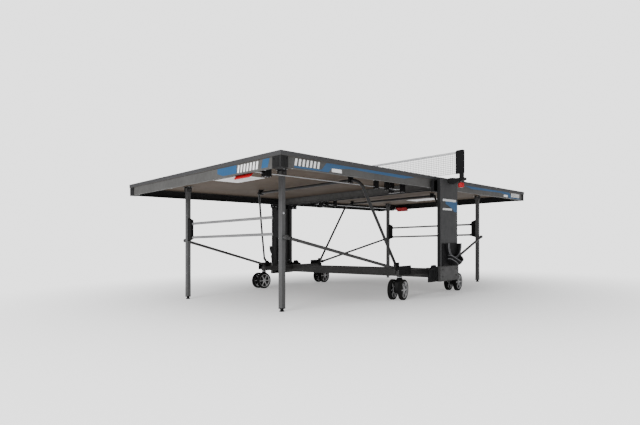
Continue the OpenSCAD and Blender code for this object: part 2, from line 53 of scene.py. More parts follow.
JOINTS = {joint["name"]: joint for joint in BEHAVIOUR["joints"]}
HALF_TURN = Matrix.Rotation(math.pi, 4, "Z")
CAMERA_PLACE = (-2.699, -2.298, 0.348)
CAMERA_HEADING = 44.3
CAMERA_LEAN = 0.01704
LENS = 26.25
LENS_SHIFT = (0.0, 0.0488)
HALVES = (("left", Matrix.Identity(4)), ("right", HALF_TURN))
BOTH_ENDS = [turn for side_name, turn in HALVES]
SIDES = (-1, 1)
X, Y, Z = (1, 0, 0), (0, 1, 0), (0, 0, 1)
ROD_Y = -537
FLOOR_SIZE = 120.0
FLOOR_FADE = (0.6, 2.9)
BEVEL_ANGLE = math.radians(28)
SHADING_ANGLE = math.radians(38)
WHITE = (1.0, 1.0, 1.0, 1.0)
COOL_WHITE = (0.97, 0.985, 1.0, 1.0)
BACKDROP_GLOW = 2.4
WORLD_LIGHT = 0.25
FLOOR_LIGHT = 1.5


# ---------------------------------------------------------------- camera, floor and light

def make_camera():
    """A low, level camera off the table's corner. The photograph's verticals are upright while its
    level lines rise to the right by a degree, so the camera's sideways axis is tilted a little."""
    data = bpy.data.cameras.new("camera")
    data.lens = LENS
    data.sensor_width = 36.0
    data.sensor_fit = "HORIZONTAL"
    data.shift_x, data.shift_y = LENS_SHIFT
    data.clip_end = 200.0
    camera = bpy.data.objects.new("camera", data)
    mast = bpy.data.objects.new("camera_mast", None)
    for item in (camera, mast):
        bpy.context.scene.collection.objects.link(item)
    camera.parent = mast
    heading = math.radians(CAMERA_HEADING)
    ahead = Vector((math.cos(heading), math.sin(heading), 0.0))
    right = Vector((math.sin(heading), -math.cos(heading), -CAMERA_LEAN))
    up = Vector((0.0, 0.0, 1.0))
    camera.matrix_parent_inverse = Matrix((
        (right.x, up.x, -ahead.x, CAMERA_PLACE[0]),
        (right.y, up.y, -ahead.y, CAMERA_PLACE[1]),
        (right.z, up.z, -ahead.z, CAMERA_PLACE[2]),
        (0.0, 0.0, 0.0, 1.0)))
    bpy.context.scene.camera = camera


def add_node(tree, kind, inputs=None, **settings):
    """A shader node with its settings; each input follows a socket or holds a constant."""
    node = tree.nodes.new(kind)
    for name, value in settings.items():
        setattr(node, name, value)
    for name, value in (inputs or {}).items():
        if isinstance(value, bpy.types.NodeSocket):
            tree.links.new(value, node.inputs[name])
        else:
            node.inputs[name].default_value = value
    return node


def mix_shaders(tree, output, factor, first, second):
    mix = add_node(tree, "ShaderNodeMixShader", {"Fac": factor})
    tree.links.new(first.outputs[0], mix.inputs[1])
    tree.links.new(second.outputs[0], mix.inputs[2])
    tree.links.new(mix.outputs[0], output.inputs["Surface"])


def make_world():
    """Pale studio: bright to the camera, softer as a light."""
    world = bpy.data.worlds.new("studio")
    bpy.context.scene.world = world
    world.use_nodes = True
    tree = world.node_tree
    tree.nodes.clear()
    output = add_node(tree, "ShaderNodeOutputWorld")
    path = add_node(tree, "ShaderNodeLightPath")
    seen = add_node(tree, "ShaderNodeBackground", {"Color": WHITE, "Strength": BACKDROP_GLOW})
    light = add_node(tree, "ShaderNodeBackground", {"Color": COOL_WHITE, "Strength": WORLD_LIGHT})
    mix_shaders(tree, output, path.outputs["Is Camera Ray"], light, seen)


def area_light(name, location, target, size, power):
    data = bpy.data.lights.new(name, "AREA")
    data.shape = "RECTANGLE"
    data.size, data.size_y = size
    data.energy = power
    lamp = bpy.data.objects.new(name, data)
    bpy.context.scene.collection.objects.link(lamp)
    lamp.location = location
    lamp.rotation_euler = (Vector(target) - Vector(location)).to_track_quat("-Z", "Y").to_euler()


def make_floor():
    bpy.ops.mesh.primitive_plane_add(size=FLOOR_SIZE)
    floor = bpy.context.object
    floor.name = "floor"
    floor.data.materials.append(floor_material())


def floor_material():
    """Pale matt floor that blends into the backdrop away from the table."""
    material, tree, shader, output = new_material("floor_white", {
        "Base Color": (0.9, 0.9, 0.9, 1.0), "Roughness": 0.6, "Specular IOR Level": 0.2})
    place = add_node(tree, "ShaderNodeTexCoord")
    distance = add_node(tree, "ShaderNodeVectorMath", {0: place.outputs["Object"]}, operation="LENGTH")
    blend = add_node(tree, "ShaderNodeMapRange", {
        "Value": distance.outputs["Value"], "From Min": FLOOR_FADE[0], "From Max": FLOOR_FADE[1],
        "To Min": 0.12},
        interpolation_type="SMOOTHSTEP")
    path = add_node(tree, "ShaderNodeLightPath")
    strength = add_node(tree, "ShaderNodeMapRange", {
        "Value": path.outputs["Is Camera Ray"], "To Min": FLOOR_LIGHT, "To Max": BACKDROP_GLOW})
    glow = add_node(tree, "ShaderNodeEmission", {"Color": WHITE, "Strength": strength.outputs["Result"]})
    mix_shaders(tree, output, blend.outputs["Result"], shader, glow)
    return material


# ---------------------------------------------------------------- materials

def new_material(name, inputs=None):
    """A material with a Principled shader; returns it with its tree, shader and output."""
    material = bpy.data.materials.new(name)
    material.use_nodes = True
    tree = material.node_tree
    tree.nodes.clear()
    output = add_node(tree, "ShaderNodeOutputMaterial")
    shader = add_node(tree, "ShaderNodeBsdfPrincipled", inputs)
    tree.links.new(shader.outputs[0], output.inputs["Surface"])
    return material, tree, shader, output


def noise(tree, scale, detail=3.0, stretch=(1.0, 1.0, 1.0)):
    """Noise in the object's own coordinates, in metres, stretched along the axes."""
    place = add_node(tree, "ShaderNodeTexCoord")
    mapping = add_node(tree, "ShaderNodeMapping", {"Vector": place.outputs["Object"], "Scale": stretch})
    texture = add_node(tree, "ShaderNodeTexNoise", {
        "Vector": mapping.outputs["Vector"], "Scale": scale, "Detail": detail})
    return texture.outputs["Fac"]


def remap(tree, value, low, high):
    """A noise value spread between two numbers."""
    node = add_node(tree, "ShaderNodeMapRange", {
        "Value": value, "From Min": 0.3, "From Max": 0.7, "To Min": low, "To Max": high})
    return node.outputs["Result"]


def mottled(tree, scale, colour, darkest, lightest, detail=3.0):
    """The colour, made cloudy by noise between two multiples of itself."""
    first, second = ([min(1.0, c * factor) for c in colour] for factor in (darkest, lightest))
    cloud = remap(tree, noise(tree, scale, detail), 0.0, 1.0)
    node = add_node(tree, "ShaderNodeMix", {"Factor": cloud, "A": (*first, 1.0), "B": (*second, 1.0)},
                    data_type="RGBA")
    return node.outputs["Result"]


def worn_edges(tree, colour, edge_colour, amount):
    """Lightens the colour where the surface turns a sharp corner, broken up by noise."""
    geometry = add_node(tree, "ShaderNodeNewGeometry")
    sharp = add_node(tree, "ShaderNodeMapRange", {
        "Value": geometry.outputs["Pointiness"], "From Min": 0.52, "From Max": 0.62, "To Max": amount})
    broken = add_node(tree, "ShaderNodeMath", {
        0: sharp.outputs["Result"], 1: remap(tree, noise(tree, 60.0), 0.2, 1.0)}, operation="MULTIPLY")
    node = add_node(tree, "ShaderNodeMix", {
        "Factor": broken.outputs[0], "A": colour, "B": (*edge_colour, 1.0)}, data_type="RGBA")
    return node.outputs["Result"]


def finish(tree, shader, tone, roughness, grain, strength, depth):
    """Gives the shader its colour, its roughness and a bump from the grain."""
    bump = add_node(tree, "ShaderNodeBump", {"Height": grain, "Strength": strength, "Distance": depth})
    for name, socket in (("Base Color", tone), ("Roughness", roughness), ("Normal", bump.outputs["Normal"])):
        tree.links.new(socket, shader.inputs[name])


def powder_coat(name, colour, roughness=0.42, gloss=0.4):
    """Powder-coated steel: fine orange peel, faint cloudy tone, lighter rubbed edges."""
    material, tree, shader = new_material(name, {"Specular IOR Level": gloss})[:3]
    rubbed = [min(1.0, c * 2.2 + 0.02) for c in colour]
    tone = worn_edges(tree, mottled(tree, 9.0, colour, 0.86, 1.12), rubbed, 0.35)
    sheen = remap(tree, noise(tree, 35.0), roughness - 0.06, roughness + 0.08)
    finish(tree, shader, tone, sheen, noise(tree, 900.0, 2.0), 0.25, 0.0002)
    return material


def moulded_plastic(name, colour, roughness=0.5, grain=0.3, gloss=0.3):
    """Moulded plastic with a fine spark-eroded grain."""
    material, tree, shader = new_material(name, {"Specular IOR Level": gloss})[:3]
    tone = worn_edges(tree, mottled(tree, 14.0, colour, 0.85, 1.15), [c * 1.8 + 0.02 for c in colour], 0.3)
    sheen = remap(tree, noise(tree, 50.0), roughness - 0.07, roughness + 0.07)
    finish(tree, shader, tone, sheen, noise(tree, 1600.0, 1.0), grain, 0.00015)
    return material


def plated_steel(name, colour=(0.62, 0.63, 0.65)):
    """Zinc-plated steel with a drawn grain."""
    material, tree, shader = new_material(name, {"Metallic": 1.0})[:3]
    sheen = remap(tree, noise(tree, 120.0, 3.0, (1.0, 14.0, 14.0)), 0.24, 0.42)
    drawn = noise(tree, 300.0, 2.0, (0.1, 4.0, 4.0))
    finish(tree, shader, mottled(tree, 30.0, colour, 0.8, 1.0), sheen, drawn, 0.12, 0.0001)
    return material


def rubber(name, colour=(0.006, 0.006, 0.0062)):
    material, tree, shader = new_material(name, {"Specular IOR Level": 0.1})[:3]
    sheen = remap(tree, noise(tree, 70.0), 0.68, 0.85)
    finish(tree, shader, mottled(tree, 40.0, colour, 0.8, 1.5), sheen, noise(tree, 1200.0, 2.0), 0.35, 0.0002)
    return material


def laminate(name, colour, roughness, grain_scale, grain, mottle=0.08, gloss=0.3):
    """Sealed board surface with a fine printed or sanded grain."""
    material, tree, shader = new_material(name, {"Specular IOR Level": gloss})[:3]
    tone = mottled(tree, 5.0, colour, 1.0 - mottle, 1.0 + mottle, 5.0)
    sheen = remap(tree, noise(tree, 22.0), roughness - 0.05, roughness + 0.05)
    finish(tree, shader, tone, sheen, noise(tree, grain_scale, 3.0), grain, 0.0002)
    return material


def printed(name, colour, roughness=0.35):
    """Printed foil of a sticker or a painted line."""
    material, tree, shader = new_material(name)[:3]
    sheen = remap(tree, noise(tree, 40.0), roughness - 0.05, roughness + 0.08)
    tone = mottled(tree, 18.0, colour, 0.94, 1.04)
    finish(tree, shader, tone, sheen, noise(tree, 700.0, 1.0), 0.06, 0.0001)
    return material


MATERIALS = {
    "playing_top": laminate("playing_top", (0.016, 0.065, 0.16), 0.55, 900.0, 0.3),
    "line_white": printed("line_white", (0.8, 0.8, 0.8), 0.5),
    "edge_band": laminate("edge_band", (0.046, 0.046, 0.048), 0.5, 500.0, 0.2),
    "underside": laminate("underside", (0.110, 0.086, 0.067), 0.7, 260.0, 0.25, 0.12, 0.08),
    "apron_grey": powder_coat("apron_grey", (0.068, 0.067, 0.065), 0.48, 0.22),
    # near-black coat: the real colour of the caster brackets and guide rails, and painted shade on the apron
    # rails' hidden faces and the columns' sides
    "rail_black_and_painted_shade": powder_coat("rail_black_and_painted_shade", (0.008, 0.008, 0.0085), 0.6, 0.12),
    "leg_grey": powder_coat("leg_grey", (0.074, 0.074, 0.075), 0.42, 0.25),
    "charcoal": powder_coat("charcoal", (0.038, 0.037, 0.037), 0.4, 0.3),
    "strut_black": powder_coat("strut_black", (0.017, 0.017, 0.0175), 0.34, 0.35),
    "rail_silver": powder_coat("rail_silver", (0.19, 0.19, 0.195), 0.42, 0.25),
    "zinc": plated_steel("zinc"),
    "black_plastic": moulded_plastic("black_plastic", (0.0055, 0.0055, 0.006), 0.52, 0.3, 0.12),
    "grey_plastic": moulded_plastic("grey_plastic", (0.10, 0.10, 0.105), 0.4),
    "red_plastic": moulded_plastic("red_plastic", (0.36, 0.004, 0.009), 0.35, 0.12, 0.25),
    "tyre_rubber": rubber("tyre_rubber"),
    "print_blue": printed("print_blue", (0.014, 0.078, 0.185), 0.45),
    "print_white": printed("print_white", (0.98, 0.98, 0.98)),
    "print_grey": printed("print_grey", (0.45, 0.45, 0.45)),
    "net_thread": printed("net_thread", (0.012, 0.012, 0.013), 0.85),
    "net_tape": printed("net_tape", (0.6, 0.6, 0.6), 0.75),
    "net_cord": printed("net_cord", (0.03, 0.03, 0.03), 0.8),
    "hub_grey": moulded_plastic("hub_grey", (0.42, 0.42, 0.425), 0.4),
    "cap_plastic": moulded_plastic("cap_plastic", (0.011, 0.011, 0.0115), 0.5, 0.3, 0.15),
    "column_grey": powder_coat("column_grey", (0.046, 0.046, 0.047), 0.45, 0.15),
}


# ---------------------------------------------------------------- shapes, in millimetres

def box_shape(low, high):
    """A plain box between two corners."""
    low, high = [[pick(a, b) for a, b in zip(low, high)] for pick in (min, max)]
    bm = bmesh.new()
    bmesh.ops.create_cube(bm, size=1.0)
    size = [b - a for a, b in zip(low, high)]
    middle = [(a + b) / 2 for a, b in zip(low, high)]
    bm.transform(Matrix.Translation(middle) @ Matrix.Diagonal((*size, 1.0)))
    return bm


def prism(outline, origin, u, v, depth):
    """The outline, given along u and v from the origin, pushed out by depth along u x v."""
    bm = bmesh.new()
    origin, u, v = Vector(origin), Vector(u), Vector(v)
    push = u.cross(v).normalized() * depth
    near = [bm.verts.new(origin + u * a + v * b) for a, b in outline]
    far = [bm.verts.new(vert.co + push) for vert in near]
    count = len(near)
    bm.faces.new(near)
    bm.faces.new(list(reversed(far)))
    for i in range(count):
        j = (i + 1) % count
        bm.faces.new((near[j], near[i], far[i], far[j]))
    return bm


def rounded_rectangle(width, height, radius, steps=5):
    """Outline of a rectangle about (0, 0) with round corners."""
    outline = []
    for quarter, (sx, sy) in enumerate(((1, 1), (-1, 1), (-1, -1), (1, -1))):
        for i in range(steps + 1):
            angle = math.radians(90.0 * (quarter + i / steps))
            outline.append((sx * (width / 2 - radius) + radius * math.cos(angle),
                            sy * (height / 2 - radius) + radius * math.sin(angle)))
    return outline


def arc(centre, radius, first, last, steps=10):
    """Points of an arc in its own plane, angles in degrees."""
    return [(centre[0] + radius * math.cos(math.radians(first + (last - first) * i / steps)),
             centre[1] + radius * math.sin(math.radians(first + (last - first) * i / steps)))
            for i in range(steps + 1)]


def bent(points, radius, steps=7):
    """A path through the points, its corners rounded."""
    points = [Vector(p) for p in points]
    path = [points[0]]
    for before, corner, after in zip(points, points[1:], points[2:]):
        back, on = (before - corner).normalized(), (after - corner).normalized()
        half = back.angle(on) / 2
        centre = corner + (back + on).normalized() * (radius / math.sin(half))
        start = corner + back * (radius / math.tan(half)) - centre
        stop = corner + on * (radius / math.tan(half)) - centre
        whole = start.angle(stop)
        for i in range(steps + 1):
            turn = Matrix.Rotation(whole * i / steps, 3, start.cross(stop))
            path.append(centre + turn @ start)
    path.append(points[-1])
    return path


def sweep(points, radius, sides=16):
    """A round bar along the points."""
    points = [Vector(p) for p in points]
    last = len(points) - 1
    normal = None
    bm = bmesh.new()
    rings = []
    for i, point in enumerate(points):
        along = (points[min(i + 1, last)] - points[max(i - 1, 0)]).normalized()
        normal = normal or along.orthogonal()
        normal = (normal - along * normal.dot(along)).normalized()
        across = along.cross(normal)
        ring = []
        for k in range(sides):
            angle = 2 * math.pi * k / sides
            ring.append(bm.verts.new(point + (normal * math.cos(angle) + across * math.sin(angle)) * radius))
        rings.append(ring)
    for first, second in zip(rings, rings[1:]):
        for k in range(sides):
            m = (k + 1) % sides
            bm.faces.new((first[k], first[m], second[m], second[k]))
    bm.faces.new(list(reversed(rings[0])))
    bm.faces.new(rings[-1])
    return bm


def lathe(profile, centre, axis, steps=28, lobes=0, lobe_depth=0.0, closed=False):
    """The (radius, height) profile turned about the axis; lobes wave its radius, closed makes a ring."""
    centre, axis = Vector(centre), Vector(axis).normalized()
    first = axis.orthogonal().normalized()
    second = axis.cross(first)
    bm = bmesh.new()
    rings = []
    for radius, height in profile:
        middle = centre + axis * height
        if radius < 1e-6:
            rings.append([bm.verts.new(middle)])
            continue
        ring = []
        for k in range(steps):
            angle = 2 * math.pi * k / steps
            reach = radius - lobe_depth * (0.5 - 0.5 * math.cos(lobes * angle)) * (radius > 4 * lobe_depth)
            ring.append(bm.verts.new(middle + (first * math.cos(angle) + second * math.sin(angle)) * reach))
        rings.append(ring)
    for lower, upper in zip(rings, rings[1:] + rings[:1] if closed else rings[1:]):
        for k in range(steps):
            m = (k + 1) % steps
            around = ((lower, k), (lower, m), (upper, m), (upper, k))
            corners = [ring[step % len(ring)] for ring, step in around]
            unique = list(dict.fromkeys(corners))
            if len(unique) > 2:
                bm.faces.new(unique)
    for ring, end in ((rings[0], True), (rings[-1], False)):
        if len(ring) > 1 and not closed:
            bm.faces.new(list(reversed(ring)) if end else ring)
    return bm


class Shape:
    """Gathers solids in millimetres, each with its material, into one piece.

    Solids are drawn where they stand, or are moved there by the matrix called placed."""

    def __init__(self, placed=None):
        self.bm = bmesh.new()
        self.kinds = []
        self.placed = placed

    def index(self, kind):
        if kind not in self.kinds:
            self.kinds.append(kind)
        return self.kinds.index(kind)

    def add(self, solid, kind, edge=0.0, segments=2, placed=None):
        """Adds a solid with its sharp edges rounded by edge."""
        bmesh.ops.recalc_face_normals(solid, faces=solid.faces)
        if edge:
            sharp = [e for e in solid.edges if e.is_manifold and e.calc_face_angle() > BEVEL_ANGLE]
            bmesh.ops.bevel(solid, geom=sharp, offset=edge, segments=segments, profile=0.5,
                            affect="EDGES", clamp_overlap=True)
        placed = placed or self.placed
        if placed:
            solid.transform(placed)
        number = self.index(kind)
        for face in solid.faces:
            face.material_index = number
            face.smooth = True
        part = bpy.data.meshes.new("part")
        solid.to_mesh(part)
        solid.free()
        self.bm.from_mesh(part)
        bpy.data.meshes.remove(part)
        return self

    def block(self, low, high, kind, edge=0.8, segments=2):
        return self.add(box_shape(low, high), kind, edge, segments)

    def bolt(self, centre, axis, radius, height, kind="zinc"):
        """Domed screw head with a washer and a round socket."""
        profile = [(0, 0), (1.25, 0), (1.25, 0.2), (1, 0.25), (1, 0.55), (0.8, 0.9), (0.5, 1), (0.45, 1),
                   (0.42, 0.45), (0, 0.45)]
        return self.add(lathe([(radius * r, height * h) for r, h in profile], centre, axis, 18), kind)

    def make(self, name, like, turn=None, replaces=True):
        """Makes the piece; it rides with the CAD node that it is like and may stand in for it."""
        self.bm.transform(Matrix.Diagonal((MM, MM, MM, 1.0)))
        if turn is not None:
            self.bm.transform(turn)
        mesh = bpy.data.meshes.new(name)
        self.bm.to_mesh(mesh)
        self.bm.free()
        for kind in self.kinds:
            mesh.materials.append(MATERIALS[kind])
        mesh.set_sharp_from_angle(angle=SHADING_ANGLE)
        return settle(bpy.data.objects.new(name, mesh), like, replaces)


def settle(piece, like, replaces):
    """Puts a piece on the CAD node's body and, if it says so, in its place."""
    bpy.context.scene.collection.objects.link(piece)
    flat = piece.modifiers.new("even_shading", "WEIGHTED_NORMAL")
    flat.keep_sharp = True
    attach(piece, BODY_OF[like])
    if replaces:
        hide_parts(like)
    return piece


def refine(node, kind, edge=0.6):
    """The CAD node's own shape with rounded edges, to which finer solids are added."""
    shape = Shape()
    solid = bmesh.new()
    solid.from_mesh(frame["nodes"][node].data)
    solid.transform(Matrix.Diagonal((1 / MM, 1 / MM, 1 / MM, 1.0)))
    bmesh.ops.remove_doubles(solid, verts=solid.verts, dist=0.005)
    bmesh.ops.dissolve_limit(solid, angle_limit=math.radians(1.0), verts=solid.verts, edges=solid.edges)
    return shape.add(solid, kind, edge)


# ---------------------------------------------------------------- pieces of one half, drawn at -X

def extent(node):
    """Lowest and highest corner of a CAD node, in millimetres."""
    return [[c / MM for c in corner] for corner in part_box(node)]


def joint_place(name):
    return [c / MM for c in JOINTS[name]["pos_m"]]


def side_of(node):
    """-1 for a node at -Y, the front, and 1 for one at +Y."""
    return 1 if extent(node)[1][1] > 0 else -1


def bar_profile(radius, start, stop, drop=1.2, slope=1.2):
    """A turned bar from start to stop; its ends lose drop of radius over a length of slope."""
    return [(0, start), (radius - drop, start), (radius, start + slope), (radius, stop - slope),
            (radius - drop, stop), (0, stop)]


def thread_profile(root, crest, tip, start, stop, pitch):
    """A turned stud with ridges one pitch apart and a thinner tip."""
    profile = [(0, start)]
    level = start
    while level < stop - 2:
        profile += [(root, level), (crest, level + pitch / 2)]
        level += pitch
    return [*profile, (tip, stop), (0, stop)]


def board():
    """Laminated board: blue top with its lines, dark edge band, bare underside with a blank label."""
    low, high = extent("board_left")
    shape = Shape().block(low, high, "edge_band", 1.2, 3)
    line, half_middle = 20.0, 1.5
    label = (-1052, -24, low[2] + 0.2)
    for axis, place in ((0, low[0] + line), (1, low[1] + line), (1, high[1] - line),
                        (1, -half_middle), (1, half_middle)):
        across = [float(i == axis) for i in range(3)]
        bmesh.ops.bisect_plane(
            shape.bm, geom=shape.bm.verts[:] + shape.bm.edges[:] + shape.bm.faces[:],
            plane_co=[place * c for c in across], plane_no=across)
    top, white, under = (shape.index(kind) for kind in ("playing_top", "line_white", "underside"))
    shape.bm.normal_update()
    for face in shape.bm.faces:
        middle = face.calc_center_median()
        if face.normal.z < -0.9:
            face.material_index = under
        elif face.normal.z > 0.9:
            on_line = (middle.x < low[0] + line or abs(middle.y) > high[1] - line
                       or abs(middle.y) < half_middle)
            face.material_index = white if on_line else top
    shape.add(prism(rounded_rectangle(172, 272, 6), label, X, (0, -1, 0), 0.5), "print_white")
    for i in range(5):
        shape.add(prism(rounded_rectangle(120 - 12 * (i % 2), 7, 2), (label[0], -110 + 28 * i, low[2] - 0.2),
                        X, (0, -1, 0), 0.25), "print_grey")
    return shape


def slanted_bars(shape, origin, along, up, start, stop, height, kind, width=13.0, pitch=24.0, lean=6.0):
    """A row of slanted bars on a face: a generic pattern."""
    place = start
    while place + width <= stop:
        bar = [(place, 0), (place + width, 0), (place + width + lean, height), (place + lean, height)]
        shape.add(prism(bar, origin, along, up, 0.25), kind)
        place += pitch


def apron_rails():
    """Folded rails with rivets and printed bands of plain bars."""
    low, high = extent("apron_rails_left")
    end, base, side = low[0], low[2], high[1]
    flange, print_lift, print_depth = 16, 0.02, 0.2

    def paint_shade_on_hidden_faces(shape):
        """Paints near-black shade on the faces turned inward and away: only the outer faces and, except on
        the inner rail, the soles keep the light grey.
        """
        # faces that lie in shade get the near-black material: painted shade on the grey rail
        painted_shade = shape.index("rail_black_and_painted_shade")
        for face in shape.bm.faces:
            middle, way = face.calc_center_median(), face.normal
            on_side = way.y * middle.y > 0.5 * (side - 1)
            if middle.x > high[0] - 20:
                light = way.x < -0.5 or on_side
            else:
                sole = way.z < -0.5 and (middle.x < end + flange or abs(middle.y) > side - flange)
                light = (way.x < -0.5 and middle.x < end + 1) or on_side or sole
            if not light:
                face.material_index = painted_shade
    shape = refine("apron_rails_left", "apron_grey", 0.7)
    paint_shade_on_hidden_faces(shape)
    # end rail, seen from outside: along -Y to the right
    face = ((end - print_lift, 0, base), (0, -1, 0), Z, print_depth)
    for outline in ([(288, 17), (318, 8), (432, 8), (432, 48), (268, 48), (268, 24)],
                    [(622, 8), (668, 8), (682, 48), (634, 48)]):
        shape.add(prism(outline, *face), "print_blue")
    slanted_bars(shape, (end - print_lift, 0, base + 9), (0, -1, 0), Z, 438, 618, 36, "print_white")
    outline = [(-1286, 12), (-1110, 12), (-1075, 48), (-310, 48), (-420, 30), (-900, 36), (-1040, 24),
               (-1062, 4), (-1286, 4)]
    for s in SIDES:
        # side rails: along +X to the right on the front, along -X on the back
        right = (-s, 0, 0)
        outer = s * (side + print_lift)
        shape.add(prism([(-s * x, z) for x, z in outline], (0, outer, base), right, Z, print_depth),
                  "print_blue")
        first = (-1284, -1104) if s < 0 else (1110, 1290)
        slanted_bars(shape, (0, s * (side + 0.03), base + 14), right, Z, *first, 32, "print_white")
        shape.add(prism(rounded_rectangle(72, 17, 2), (-1002, outer, base + 17), right, Z, print_depth),
                  "print_white")
        for x in (-1290, -700, -150):
            shape.bolt((x, s * (side - 8), base - 0.2), (0, 0, -1), 3.4, 2.0)
    for y in (-640, -220, 220, 640):
        shape.bolt((end + 8, y, base - 0.2), (0, 0, -1), 3.4, 2.0)
    return shape


def corner_caps():
    """Moulded caps that wrap round the outer corners, with ridges and a screw on each face."""
    low, high = extent("corner_caps_left")
    out_x, out_y, bottom, top = low[0] + 0.8, high[1] - 0.8, low[2], high[2]
    side_end, end_end = high[0], out_y - 58.0
    wall, r = 4.0, 9.0
    shape = Shape()
    for s in SIDES:
        outer = arc((out_x + r, out_y - r), r, 180, 90, 7)
        inner = arc((out_x + r, out_y - r), r - wall, 90, 180, 7)
        band = [(out_x, end_end), *outer, (side_end, out_y), (side_end, out_y - wall), *inner,
                (out_x + wall, end_end)]
        sole = [(out_x + 1, end_end), *arc((out_x + r, out_y - r), r - 1, 180, 90, 7), (side_end, out_y - 1),
                (side_end, end_end)]
        for outline, depth, edge in ((band, top - bottom, 0.9), (sole, 2.4, 0.7)):
            mirrored = [(x, s * y) for x, y in outline]
            shape.add(prism(mirrored, (0, 0, bottom), X, Y, depth), "cap_plastic", edge)
        for lift in (0, 5.5):
            shape.block((out_x - 0.8, s * (out_y - 22 + lift), bottom + 4),
                        (out_x + 1, s * (out_y - 19.5 + lift), top - 4), "cap_plastic", 0.4)
            shape.block((out_x + 17 + lift, s * (out_y - 1), bottom + 4),
                        (out_x + 19.5 + lift, s * (out_y + 0.8), top - 4), "cap_plastic", 0.4)
        # moulded bosses under the board's edge, each with a dark screw
        shape.bolt((out_x, s * (out_y - 46), top - 12), (-1, 0, 0), 4.2, 1.2, "black_plastic")
        shape.bolt((side_end - 8, s * out_y, top - 12), (0, s, 0), 4.2, 1.2, "black_plastic")
    return shape


def pivot_plates():
    """Steel plates under the board that carry the fold pivots."""
    low, high = extent("pivot_plates_left")
    shape = refine("pivot_plates_left", "zinc", 0.5)
    for s, x, z in product(SIDES, (low[0] + 6, high[0] - 6), (low[2] + 6, high[2] - 6)):
        shape.bolt((x, s * (high[1] - 4), z), (0, -s, 0), 3.2, 2.2)
    return shape


def leg_brackets():
    """Forks under the board that hold the legs' pins."""
    top = extent("leg_brackets_left")[1][2]
    pivot = joint_place("leg_swing_left")
    leg_y = extent("foot_rear_left")[0][1] + 14
    shape = refine("leg_brackets_left", "charcoal", 0.6)
    for s, t in product(SIDES, SIDES):
        middle = s * leg_y
        shape.bolt((pivot[0], middle + t * 21.8, pivot[2]), (0, t, 0), 6.0, 4.5, "charcoal")
        for x in (-10, 10):
            shape.bolt((pivot[0] + x, middle + t * 27, top - 3), (0, 0, -1), 3.0, 2.0)
    return shape


def strut_clamps():
    """Clamps round the strut's crossbar."""
    low, high = extent("strut_clamps_left")
    pivot = joint_place("strut_swing_left")
    shape = refine("strut_clamps_left", "black_plastic", 1.6)
    for y, half in ((low[1] + 8, 8), (high[1] - 10, 10)):
        for x in (-11, 11):
            shape.bolt((pivot[0] + x, y, low[2]), (0, 0, -1), 2.8, 1.6)
        shape.block((low[0] + 4, y - half + 2, low[2] - 1), (high[0] - 4, y + half - 2, low[2] + 1),
                    "black_plastic", 0.5)
    return shape


def rod_guides():
    """Lever housing, rod guides and the latch with its wire bail."""
    base = extent("rod_guides_left")[0][2]
    rod_end = extent("lock_rod_left")[1][0]
    shape = refine("rod_guides_left", "black_plastic", 1.0)
    for x, y in product((-1281, -1249), (ROD_Y - 12, ROD_Y + 12)):
        shape.bolt((x, y, 676), (0, 0, -1), 2.4, 1.2)
    for x in (-1257, -1273):
        shape.block((x - 1.5, -553.2, 682), (x + 1.5, -551, 730), "black_plastic", 0.4)
    for x, y in product((-400, -290), (ROD_Y - 8, ROD_Y + 8)):
        shape.bolt((x, y, 681), (0, 0, -1), 2.2, 1.2)
    # wire bail that hangs between the latch plates
    near_half = [(-197, 38, 679), (-207, 38, 667), (-232, 25, 664)]
    bail = ([(x, ROD_Y - half, z) for x, half, z in near_half]
            + [(x, ROD_Y + half, z) for x, half, z in reversed(near_half)])
    shape.add(sweep(bent(bail, 6.0), 2.0, 12), "zinc")
    for y, x in product((ROD_Y - 43, ROD_Y + 43), (rod_end - 16, rod_end + 12)):
        shape.bolt((x, y, base), (0, 0, -1), 2.6, 1.4)
    return shape


def release_handle():
    """Moulded paddle with a rolled lower edge and grip ribs, on a steel pin."""
    low, high = extent("release_handle_left")
    pivot = joint_place("handle_pull_left")
    lean = Matrix.Translation((pivot[0], 0, pivot[2])) @ Matrix.Rotation(math.radians(38), 4, "Y")
    first, last = -528.0, -395.0
    middle, width = (first + last) / 2, last - first
    shape = Shape()
    shape.add(prism(rounded_rectangle(width, 46, 9), (-2.4, middle, -18.4), Y, Z, 4.8),
              "red_plastic", 1.2, 3, lean)
    shape.add(sweep([(0.0, first + 8, -38.5), (0.0, last - 8, -38.5)], 3.6, 14), "red_plastic", 1.2, 3, lean)
    for i in range(4):
        shape.add(box_shape((-3.6, first + 12, -12 - 6.5 * i), (3.6, last - 12, -9.5 - 6.5 * i)),
                  "red_plastic", 0.9, 2, lean)
    for y in (first + 4, last - 4):
        shape.add(sweep([(0, y, -34), (0, y, -2)], 3.4, 12), "red_plastic", 0.8, 2, lean)
    shape.add(sweep([(0, first + 2, 0), (0, last - 2, 0)], 5.2, 18), "red_plastic", 1.0, 2, lean)
    shape.add(lathe(bar_profile(2.8, low[1], high[1], 0.6, 0.8), (pivot[0], 0, pivot[2]), Y, 16), "zinc")
    return shape


def lock_rod():
    """Round rod with an eye hooked round the handle's pin and a crossbar at the latch."""
    low, high = extent("lock_rod_left")
    y, z = ROD_Y, 693.0
    shape = Shape()
    inner = high[0] - 4
    path = [(inner, y, z), (low[0] - 3, y, z), (low[0] - 5, y, z + 17), (low[0] + 7, y, z + 17)]
    shape.add(sweep(bent(path, 4.0), 2.9, 14), "zinc")
    shape.add(lathe(bar_profile(4.0, low[1], high[1], 0.8, 1), (inner, 0, z), Y, 18), "zinc")
    for x in (low[0] + 32, low[0] + 116):
        shape.add(lathe([(2.8, 0), (4.6, 0.6), (4.6, 5), (2.8, 5.6)], (x, y, z), X, 16), "zinc")
    return shape


